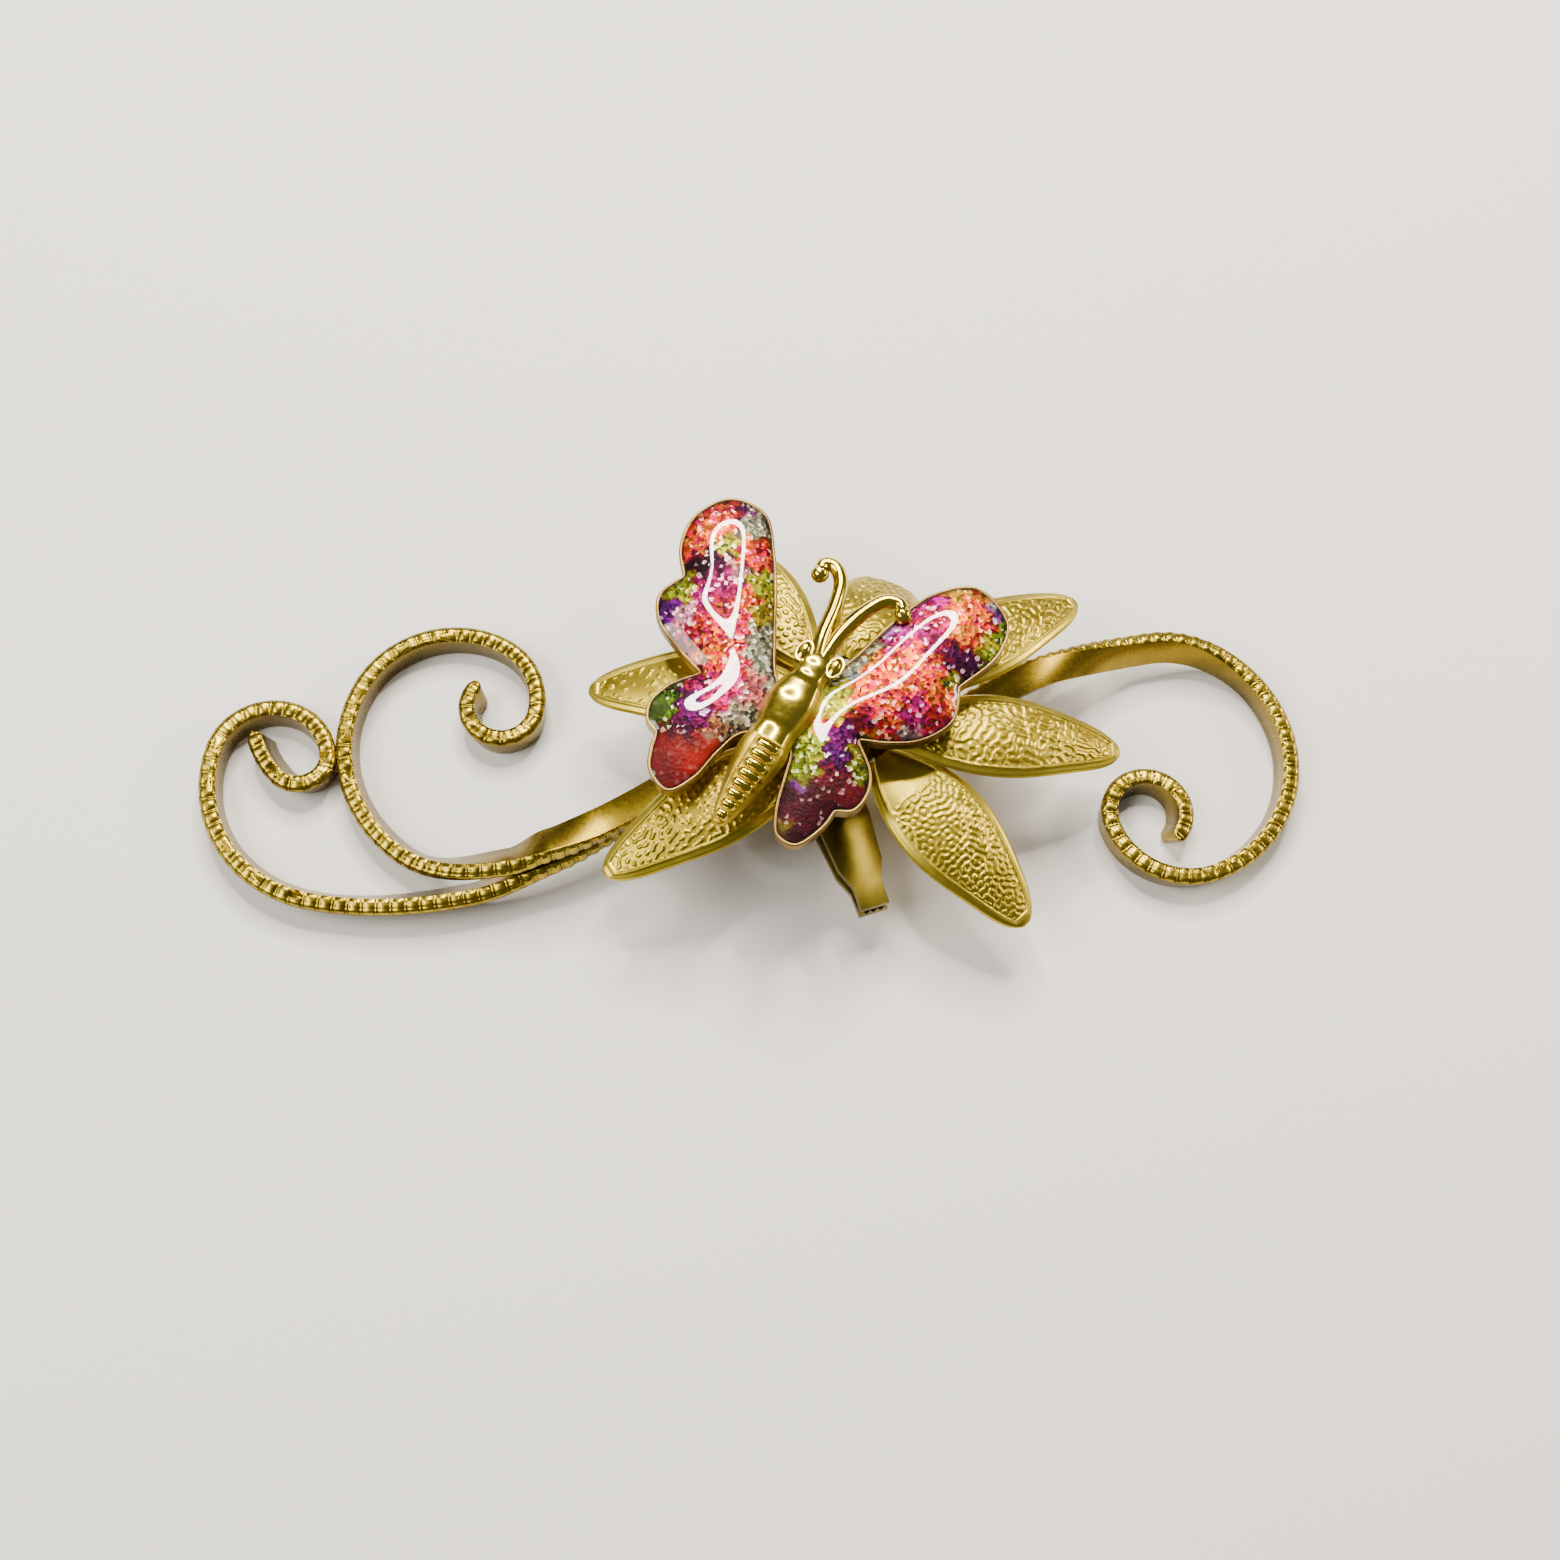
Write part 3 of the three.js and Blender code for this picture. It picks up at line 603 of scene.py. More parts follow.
class Stamping(Enum):
    """Texture that the die leaves in a leaf: wavelength in mm, level cut, softness and height in mm."""

    PEBBLED = (0.56, 0.75, 0.8, 0.10)
    SPARSE = (0.70, 1.15, 0.8, 0.08)
    WORMED = (0.46, 0.0, 0.8, 0.08)
    WAVY = (0.62, 0.05, 0.7, 0.08)

    def relief(self, points: np.ndarray, seed: int) -> np.ndarray:
        """Gives how far each point stands up, 0..1, in a labyrinth of one wavelength.

        Args:
            points: Flat places on the sheet, in mm.
            seed: Chooses the pattern.

        Returns:
            The relief at each point.
        """
        wavelength, level, softness, _ = self.value
        waves, unevenness = 90, 0.09
        random = np.random.default_rng(seed)
        total = np.zeros(len(points))
        for _ in range(waves):
            turn, phase = random.uniform(0, 2 * np.pi, 2)
            pace = 2 * np.pi / wavelength * random.normal(1.0, unevenness)
            total += np.cos(pace * (points[:, 0] * math.cos(turn) + points[:, 1] * math.sin(turn)) + phase)
        return smooth((total / math.sqrt(waves / 2) - level) / softness + 0.5)


@dataclass
class Leaf:
    """One stamped leaf: pointed oval, arched across and bent down towards its tip. Sizes in mm."""

    node: str
    base: tuple[float, float]
    angle: float
    stamping: Stamping
    length: float = 17.4
    level: float = 7.85
    slope: float = 8.0
    droop: float = -28.0
    bend: float = 1.0
    half_width: float = 3.15
    width: float = 1.0
    thickness: float = 0.6
    camber: float = 0.5
    stem: float = 1.0
    tip: float = 0.35
    plain_stem: float = 0.0
    rim: float = 0.62
    sheet: float = 0.42
    rows: int = 230
    columns: int = 84

    def half(self, share: np.ndarray) -> np.ndarray:
        """Gives the half-width at shares of the length: fullest past the middle, with a blunt tip.

        Args:
            share: Shares of the length, 0..1.

        Returns:
            The half-width at each, in mm.
        """
        belly = np.sin(np.pi * (0.08 + 0.92 * share) ** 0.92)
        stem = self.stem + (self.tip - self.stem) * share
        bluntness = 0.8 - 0.3 * smooth((share - 0.6) / 0.4)
        return np.maximum(stem, self.half_width * self.width * np.maximum(belly, 0) ** bluntness)

    def spine(self, share: np.ndarray) -> tuple[np.ndarray, np.ndarray, np.ndarray]:
        """Gives reach, height and slope of the centre line at shares of the length.

        Args:
            share: Shares of the length, 0..1.

        Returns:
            Reach and height in mm, and slope in radians.
        """
        fine = np.linspace(0, 1, 400)
        slope = np.radians(self.slope + (self.droop - self.slope) * fine**self.bend)
        step = self.length / 399
        reach = np.concatenate([[0], np.cumsum(np.cos(slope[:-1]) * step)])
        height = np.concatenate([[0], np.cumsum(np.sin(slope[:-1]) * step)])
        return np.interp(share, fine, reach), np.interp(share, fine, height), np.interp(share, fine, slope)

    def border(self, edge: np.ndarray) -> np.ndarray:
        """Gives the height of the plain border and its inner ridge, by distance from the edge.

        Args:
            edge: Distances from the edge, in mm.

        Returns:
            The height at each, in mm.
        """
        roll_off = -0.14 * (1 - smooth(edge / 0.16))
        ridge = 0.08 * np.exp(-(((edge - self.rim) / 0.10) ** 2))
        field_drop = -0.04 * smooth((edge - self.rim) / 0.2)
        return roll_off + ridge + field_drop + 0.04 * smooth(edge / self.rim)

    def build(self) -> bpy.types.Object:
        """Makes the leaf.

        Returns:
            The finished mesh.
        """
        deselect()
        bpy.ops.mesh.primitive_grid_add(x_subdivisions=self.rows, y_subdivisions=self.columns, size=1.0)
        piece = bpy.context.object
        piece.name = self.node + "_stamping"
        flat = coordinates(piece)
        share = flat[:, 0] + 0.5
        v = flat[:, 1] * 2
        half = self.half(share)
        reach, height, slope = self.spine(share)
        edge = np.minimum((1 - np.abs(v)) * half, (1 - share) * self.length * 0.8 + 0.02)
        inside = smooth((edge - self.rim - 0.10) / 0.16) * smooth((share - self.plain_stem) / 0.06)
        worn = 0.75 + 0.25 * np.cos(share * 9.0 + v * 2.0)
        die = self.stamping.relief(np.stack([share * self.length, v * half], 1), int(abs(self.angle) * 10))
        raised = die * worn * inside
        lift = self.thickness + self.border(edge) + self.stamping.value[3] * raised
        lift -= self.camber * v * v * (half / self.half_width)
        along = reach - lift * np.sin(slope)
        up = height + lift * np.cos(slope)
        turn = math.radians(self.angle)
        x = along * math.cos(turn) - v * half * math.sin(turn) + self.base[0]
        y = along * math.sin(turn) + v * half * math.cos(turn) + self.base[1]
        place(piece, (np.stack([x, y, up + self.level], axis=1) + OFFSET) * MM)
        # Relief for the finish: the pits between the stamped bumps get its browner tone, partly tarnish and
        # partly painted shade.
        note(piece, "relief", np.where(inside > 0, 0.42 + 0.58 * np.maximum(raised, 1 - inside), 1.0))
        solid = piece.modifiers.new("sheet", "SOLIDIFY")
        solid.thickness = self.sheet * MM
        solid.offset = -1.0
        apply_modifiers(piece)
        settle(piece, 55, outward=False)
        return piece


@dataclass
class LeafFan:
    """The seven leaves round the hub."""

    level: float = 7.85
    high_level: float = 8.35
    low_level: float = 7.05

    def leaves(self) -> list[Leaf]:
        """Lists the leaves, clockwise from the left."""
        return [
            Leaf("leaf_left", (2.6, 3.8), 174.8, Stamping.SPARSE, length=15.6, level=self.level),
            Leaf(
                "leaf_lower_left", (3.5, -1.3), 209.2, Stamping.PEBBLED, droop=-24, width=1.04,
                level=self.high_level,
            ),
            Leaf(
                "leaf_lower_right", (8.8, -1.4), -50.2, Stamping.WORMED, length=16.2, width=1.15,
                level=self.low_level, plain_stem=0.2,
            ),
            Leaf("leaf_right", (10.2, 0.3), -2.5, Stamping.WAVY, length=17.2, width=1.05, level=self.level),
            Leaf("leaf_upper_right", (10.0, 4.1), 28.5, Stamping.WAVY, level=self.level),
            Leaf(
                "leaf_upper_left", (3.6, 6.3), 121.0, Stamping.PEBBLED, length=16, droop=-60, bend=1.3,
                level=self.level,
            ),
            Leaf(
                "leaf_top", (7.0, 6.2), 66.0, Stamping.WAVY, length=14, droop=-88, bend=1.1, level=self.level
            ),
        ]

    def build(self) -> None:
        """Makes and dresses every leaf."""
        for leaf in self.leaves():
            dress(leaf.build(), STAMPED_LEAF, "ornament", "stamped_gold", leaf.node)


# ---------------------------------------------------------------------------
# Scrolls
# ---------------------------------------------------------------------------


@dataclass
class Scroll:
    """A milled-edge strip bent through a chain of arcs, with its roll and lift. Sizes in mm.

    Each arc is its radius, its clockwise turn, and the roll and lift that it ends with.
    """

    node: str
    start: tuple[float, float]
    heading: float
    inner_lift: float
    tail: tuple[float, float]
    arcs: list[tuple[float, float, float, float]]
    tail_length: float = 12.0
    width: float = 2.4
    thickness: float = 1.25
    pitch: float = 1.12
    groove: float = 0.16
    per_pitch: int = 16
    end_round: float = 0.7
    section: list[tuple[float, float]] = field(
        default_factory=lambda: [
            (0.50, 1.20), (0.50, 0.36), (0.50, 0.29), (0.45, 0.14), (0.32, 0.05), (0.16, 0.01), (0.0, 0.0),
            (-0.16, 0.01), (-0.32, 0.05), (-0.45, 0.14), (-0.50, 0.29), (-0.50, 0.36), (-0.50, 1.20),
            (-0.50, 2.30), (-0.44, 2.40), (0.0, 2.40), (0.44, 2.40), (0.50, 2.30),
        ]
    )

    def runs(self) -> list[tuple[float, float, float, float]]:
        """Lists length, curvature, roll and lift of the tail and the arcs.

        Returns:
            One row for the tail and one for each arc.
        """
        chain = [(self.tail_length, 0.0, *self.tail)]
        for radius, turn, roll, lift in self.arcs:
            chain.append((radius * math.radians(turn), -1 / radius, roll, lift))
        return chain

    def states(self, distances: np.ndarray) -> np.ndarray:
        """Follows the path.

        Args:
            distances: Distances along the path, in mm.

        Returns:
            Rows of x, y, heading, roll and lift, angles in radians.
        """
        heading = math.radians(self.heading)
        x = self.start[0] - self.tail_length * math.cos(heading)
        y = self.start[1] - self.tail_length * math.sin(heading)
        roll, lift, done = self.tail[0], self.inner_lift, 0.0
        rows = np.zeros((len(distances), 5))
        for length, curve, end_roll, end_lift in self.runs():
            here = np.clip(distances - done, 0, length)
            turned = heading + curve * here
            ease = smooth(here / length)
            if curve == 0:
                px, py = x + here * math.cos(heading), y + here * math.sin(heading)
            else:
                px = x + (np.sin(turned) - math.sin(heading)) / curve
                py = y - (np.cos(turned) - math.cos(heading)) / curve
            mask = distances >= done - 1e-9
            rolled = np.radians(roll + (end_roll - roll) * ease)
            lifted = lift + (end_lift - lift) * ease
            rows[mask] = np.stack([px, py, turned, rolled, lifted], 1)[mask]
            if curve == 0:
                x, y = x + length * math.cos(heading), y + length * math.sin(heading)
            else:
                last = heading + curve * length
                x += (math.sin(last) - math.sin(heading)) / curve
                y -= (math.cos(last) - math.cos(heading)) / curve
                heading = last
            roll, lift, done = end_roll, end_lift, done + length
        return rows

    def tooth(self, distance: np.ndarray) -> np.ndarray:
        """Gives the depth of the milling below the crown, 0..1: a wide domed bar, then a narrow ridge.

        Args:
            distance: Distances along the strip, in mm.

        Returns:
            The depth at each.
        """
        phase = np.mod(distance / self.pitch, 1.0)
        wide = np.clip(np.abs(phase - 0.39) / 0.39, 0, 1) ** 2.2
        narrow = np.clip(np.abs(phase - 0.89) / 0.11, 0, 1) ** 2.0
        return np.where(phase < 0.78, 0.85 * wide, 0.4 + 0.6 * narrow)

    def build(self) -> bpy.types.Object:
        """Makes the strip.

        Returns:
            The finished mesh.
        """
        total = sum(run[0] for run in self.runs())
        stations = (math.ceil(math.sqrt(total / self.pitch * self.per_pitch))) ** 2
        self.pitch = total / stations * self.per_pitch
        section = np.array(self.section)
        depths: list[np.ndarray] = []

        def shape(share: np.ndarray, around: np.ndarray) -> np.ndarray:
            """Places the strip's vertices along the path.

            Args:
                share: Shares along the piece.
                around: Turns round it.

            Returns:
                The places in mm.
            """
            distance = share * total
            rows = self.states(distance)
            index = np.round(around * len(section)).astype(int) % len(section)
            side = section[index, 0] * self.thickness
            depth = section[index, 1]
            crown = np.clip(1 - depth / 0.29, 0, 1) ** 0.5
            cut = self.tooth(distance) * self.groove * crown
            end = np.clip((total - distance) / self.end_round, 0.02, 1)
            side = side * (1 - 0.10 * self.tooth(distance) * crown) * np.sqrt(end * (2 - end))
            # The crown is polished by handling; the flanks and grooves get a browner, darker tone, partly
            # tarnish and partly painted shade.
            depths.append(np.where(depth < 0.29, self.tooth(distance), 0.78))
            depth = depth + cut
            heading, roll = rows[:, 2], rows[:, 3]
            left = np.stack([-np.sin(heading), np.cos(heading), np.zeros_like(heading)], 1)
            up = np.array([0.0, 0.0, 1.0])
            across = -left * np.cos(roll)[:, None] + up * np.sin(roll)[:, None]
            inward = -left * np.sin(roll)[:, None] - up * np.cos(roll)[:, None]
            rise = rows[:, 4] + self.width * np.cos(roll) + self.thickness / 2 * np.sin(roll)
            crest = np.stack([rows[:, 0], rows[:, 1], rise], 1)
            return crest + across * side[:, None] + inward * depth[:, None] + OFFSET

        piece = sweep(self.node + "_strip", len(section), stations, shape)
        note(piece, "relief", np.clip(1 - depths[0], 0, 1))
        return piece


@dataclass
class Scrolls:
    """The three scroll strips."""

    low_lift: float = 5.2
    high_lift: float = 6.55

    def strips(self) -> list[Scroll]:
        """Lists the strips."""
        return [
            Scroll("scroll_left_outer", (-11.0, -6.2), -148.6, self.low_lift, (88, 2.7), [
                (30.3, 7.6, 72, 2.1), (30.3, 13.4, 34, 0.5), (30.3, 22.7, 22, 0), (10.2, 91.4, 2, 0),
                (4.35, 161.1, 2, 0), (2.25, 142.9, 24, 0), (7.7, 30.7, 20, 0),
            ]),
            Scroll("scroll_left_inner", (-11.5, -6.5), -154.9, self.high_lift, (88, 4.2), [
                (25, 9, 72, 3.7), (25, 7.5, 48, 2.55), (11.25, 46, 22, 0), (11.25, 77.7, 3, 0),
                (7.7, 94.7, 0, 0), (5.3, 72, 0, 0), (2.7, 217.5, 14, 0),
            ]),
            Scroll("scroll_right", (18.55, 5.95), 29.1, self.low_lift, (80, self.low_lift), [
                (37.5, 19.7, 32, 1.2), (8.9, 65.4, 4, 0), (10.25, 104.9, 12, 0), (5.9, 96.6, 2, 0),
                (3.0, 100, 4, 0), (3.0, 142.3, 22, 0),
            ]),
        ]

    def build(self) -> None:
        """Makes and dresses every strip."""
        for strip in self.strips():
            dress(strip.build(), MILLED_STRIP, "ornament", "milled_gold", strip.node)


# ---------------------------------------------------------------------------
# Butterfly
# ---------------------------------------------------------------------------

Patch = tuple[float, float, float, str]


@dataclass
class Wing:
    """One wing: a cast tray with a thin rim, filled with domed glitter resin. Sizes in mm."""

    side: str
    start: tuple[float, float]
    lobes: list[list[tuple[float, float]]]
    patches: list[Patch]
    plain: list[tuple[float, float, float]]
    base: float = 10.35
    height: float = 0.9
    floor: float = 0.35
    wall: float = 0.20
    rim_radius: float = 0.12
    crown: float = 0.95
    spacing: float = 0.14
    sparse: float = 0.1

    def outline(self) -> np.ndarray:
        """Draws the outline through the lobes, anticlockwise.

        Returns:
            The outline, one row for each point.
        """
        drawn, origin = [], self.start
        for lobe in self.lobes:
            knots = [origin, *lobe]
            drawn.append(spline(knots, 8)[:-1])
            origin = lobe[-1]
        drawn.append(np.array([origin], dtype=float))
        line = np.vstack(drawn)
        x, y = line[:, 0], line[:, 1]
        area = np.sum(x * np.roll(y, -1) - np.roll(x, -1) * y)
        return line if area > 0 else line[::-1]

    def inset(self, line: np.ndarray, distance: float) -> np.ndarray:
        """Moves an anticlockwise outline inwards by a distance.

        Args:
            line: The outline.
            distance: How far inwards, in mm.

        Returns:
            The smaller outline.
        """
        before, after = np.roll(line, 1, axis=0), np.roll(line, -1, axis=0)
        first = (line - before) / np.linalg.norm(line - before, axis=1)[:, None]
        second = (after - line) / np.linalg.norm(after - line, axis=1)[:, None]
        inward = np.stack([-first[:, 1] - second[:, 1], first[:, 0] + second[:, 0]], 1)
        inward /= np.linalg.norm(inward, axis=1)[:, None]
        spread = np.maximum(0.6, np.sum(inward * np.stack([-first[:, 1], first[:, 0]], 1), axis=1))
        return line + inward * (distance / spread)[:, None]

    def prism(self, name: str, line: np.ndarray, low: float, high: float) -> bpy.types.Object:
        """Extrudes an outline between two heights.

        Args:
            name: The piece's name.
            line: The outline, anticlockwise.
            low: The lower height.
            high: The upper height.

        Returns:
            A closed prism.
        """
        deselect()
        bpy.ops.mesh.primitive_circle_add(vertices=len(line), radius=1, fill_type="NGON")
        piece = bpy.context.object
        piece.name = name
        flat = coordinates(piece)
        order = np.argsort(np.mod(np.arctan2(flat[:, 1], flat[:, 0]), 2 * np.pi))
        points = np.zeros_like(flat)
        points[order, :2] = line
        points[:, 2] = low
        place(piece, (points + OFFSET) * MM)
        bpy.ops.object.mode_set(mode="EDIT")
        bpy.ops.mesh.select_all(action="SELECT")
        bpy.ops.mesh.extrude_region_move(TRANSFORM_OT_translate={"value": (0, 0, (high - low) * MM)})
        bpy.ops.object.mode_set(mode="OBJECT")
        settle(piece, 40)
        return piece

    def tray(self) -> bpy.types.Object:
        """Makes the cast tray with its rounded rim.

        Returns:
            The tray.
        """
        top = self.base + self.height
        line = self.outline()
        block = self.prism(self.side + "_wing_tray", line, self.base, top - self.rim_radius)
        pick(block)
        bpy.ops.object.mode_set(mode="EDIT")
        bpy.ops.mesh.select_mode(type="FACE")
        bpy.ops.mesh.select_all(action="DESELECT")
        bpy.ops.object.mode_set(mode="OBJECT")
        for polygon in block.data.polygons:
            polygon.select = polygon.normal.z > 0.9 and polygon.center.z > (self.base + 0.6) * MM
        bpy.ops.object.mode_set(mode="EDIT")
        bpy.ops.mesh.inset(thickness=self.wall * MM, depth=0)
        bpy.ops.mesh.extrude_region_move(
            TRANSFORM_OT_translate={"value": (0, 0, (self.floor - self.height + self.rim_radius) * MM)}
        )
        bpy.ops.object.mode_set(mode="OBJECT")
        settle(block, 40)
        path = self.inset(line, self.rim_radius)
        radius = self.rim_radius * 1.15

        def shape(share: np.ndarray, around: np.ndarray) -> np.ndarray:
            """Places the rim bead's vertices along the outline.

            Args:
                share: Shares along the piece.
                around: Turns round it.

            Returns:
                The places in mm.
            """
            centre = even(path, share, closed=True)
            ahead = even(path, np.mod(share + 0.002, 1), closed=True)
            ahead -= even(path, np.mod(share - 0.002, 1), closed=True)
            ahead /= np.maximum(np.linalg.norm(ahead, axis=1), 1e-9)[:, None]
            out = np.stack([ahead[:, 1], -ahead[:, 0]], 1)
            turn = 2 * np.pi * around
            flat = centre + out * (radius * np.cos(turn))[:, None]
            return np.column_stack([flat, top - 0.05 + radius * np.sin(turn)]) + OFFSET

        bead = ring(self.side + "_rim", 10, 420, shape)
        return join(self.side + "_wing_tray", [block, bead])

    def edge_distance(self, points: np.ndarray, line: np.ndarray) -> np.ndarray:
        """Gives the least distance from points to a closed line.

        Args:
            points: Flat places.
            line: The closed line.

        Returns:
            The distance from each place.
        """
        ends = np.roll(line, -1, axis=0)
        best = np.full(len(points), 1e9)
        for start, end in zip(line, ends):
            span = end - start
            share = np.clip(((points - start) @ span) / max(span @ span, 1e-12), 0, 1)
            best = np.minimum(best, np.linalg.norm(points - start - share[:, None] * span, axis=1))
        return best

    def resin(self) -> bpy.types.Object:
        """Pours the domed resin and stores its colours.

        Returns:
            The resin fill.
        """
        line = self.inset(self.outline(), self.wall - 0.04)
        low, high = line.min(axis=0) - 0.5, line.max(axis=0) + 0.5
        size = high - low
        mould = self.prism(self.side + "_mould", line, self.base + self.floor + 0.05, self.base + 4)
        deselect()
        bpy.ops.mesh.primitive_grid_add(
            x_subdivisions=int(size[0] / self.spacing), y_subdivisions=int(size[1] / self.spacing), size=1.0
        )
        piece = bpy.context.object
        piece.name = self.side + "_wing_resin"
        flat = coordinates(piece)
        points = flat.copy()
        points[:, :2] = low + (flat[:, :2] + 0.5) * size
        points[:, 2] = self.base + self.height
        place(piece, (points + OFFSET) * MM)
        bpy.ops.object.mode_set(mode="EDIT")
        bpy.ops.mesh.select_all(action="SELECT")
        bpy.ops.mesh.extrude_region_move(TRANSFORM_OT_translate={"value": (0, 0, -2.0 * MM)})
        bpy.ops.mesh.select_all(action="SELECT")
        bpy.ops.mesh.normals_make_consistent(inside=False)
        bpy.ops.object.mode_set(mode="OBJECT")
        cut = piece.modifiers.new("mould", "BOOLEAN")
        cut.operation = "INTERSECT"
        cut.object = mould
        cut.solver = "EXACT"
        apply_modifiers(piece)
        bpy.data.objects.remove(mould)
        points = coordinates(piece) / MM - OFFSET
        top = points[:, 2] > self.base + self.height - 0.01
        points[top, 2] += self.film(points[top, :2], line, low, high) - 0.05
        place(piece, (points + OFFSET) * MM)
        settle(piece, 50)
        self.colour(piece, points)
        note(piece, "rim", smooth(self.edge_distance(points[:, :2], line) / 0.5))
        return piece

    def contains(self, points: np.ndarray, line: np.ndarray) -> np.ndarray:
        """Tells which points lie inside a closed outline.

        Args:
            points: Flat places.
            line: The closed outline.

        Returns:
            True for each place inside.
        """
        x, y = points[:, 0], points[:, 1]
        odd = np.zeros(len(points), dtype=bool)
        for (ax, ay), (bx, by) in zip(line, np.roll(line, -1, axis=0)):
            if ay == by:
                continue
            odd ^= ((ay > y) != (by > y)) & (x < (bx - ax) * (y - ay) / (by - ay) + ax)
        return odd

    def film(self, points: np.ndarray, line: np.ndarray, low: np.ndarray, high: np.ndarray) -> np.ndarray:
        """Gives the height of liquid resin held by its surface tension inside the rim.

        Args:
            points: Where the height is wanted.
            line: The outline that holds the resin.
            low: The lower corner of a box round the outline.
            high: The upper corner of that box.

        Returns:
            The height at each point, in mm.
        """
        step, rounds = 0.25, 1500
        across = np.arange(low[0], high[0] + step, step)
        along = np.arange(low[1], high[1] + step, step)
        grid = np.stack(np.meshgrid(across, along, indexing="ij"), axis=-1)
        wet = self.contains(grid.reshape(-1, 2), line).reshape(grid.shape[:2])
        rise = np.zeros(wet.shape)
        for _ in range(rounds):
            around = np.roll(rise, 1, 0) + np.roll(rise, -1, 0) + np.roll(rise, 1, 1) + np.roll(rise, -1, 1)
            rise = np.where(wet, (around + 1.0) / 4, 0.0)
        rise = self.crown * (rise / rise.max()) ** 0.8
        u = np.clip((points[:, 0] - low[0]) / step, 0, len(across) - 1.001)
        v = np.clip((points[:, 1] - low[1]) / step, 0, len(along) - 1.001)
        i, j = u.astype(int), v.astype(int)
        s, t = u - i, v - j
        near = rise[i, j] * (1 - s) + rise[i + 1, j] * s
        far = rise[i, j + 1] * (1 - s) + rise[i + 1, j + 1] * s
        return near * (1 - t) + far * t

    def colour(self, piece: bpy.types.Object, points: np.ndarray) -> None:
        """Blends the colour patches over the resin and stores where the glitter lies.

        Args:
            piece: The resin fill.
            points: Its vertices in mm.
        """
        weights = np.zeros(len(points))
        blend = np.zeros((len(points), 3))
        wobble = 0.3 * np.stack([np.sin(points[:, 1] * 5.1 + 1.3), np.cos(points[:, 0] * 4.7)], 1)
        for x, y, radius, colour in self.patches:
            gap = np.linalg.norm(points[:, :2] + wobble - np.array([x, y]), axis=1) / radius
            weight = np.exp(-(gap**2) * 3.6) + 1e-6 / (1 + gap**4)
            weights += weight
            blend += weight[:, None] * np.array(linear(colour)[:3])
        mixed = np.column_stack([blend / weights[:, None], np.ones(len(points))])
        made = piece.data.attributes.new("patch", "FLOAT_COLOR", "POINT")
        made.data.foreach_set("color", np.ascontiguousarray(mixed, dtype=np.float32).ravel())
        glitter = np.ones(len(points))
        for x, y, radius in self.plain:
            gap = np.linalg.norm(points[:, :2] - np.array([x, y]), axis=1) / radius
            glitter = np.minimum(glitter, self.sparse + (1 - self.sparse) * smooth((gap - 0.75) / 0.5))
        note(piece, "glitter", glitter)


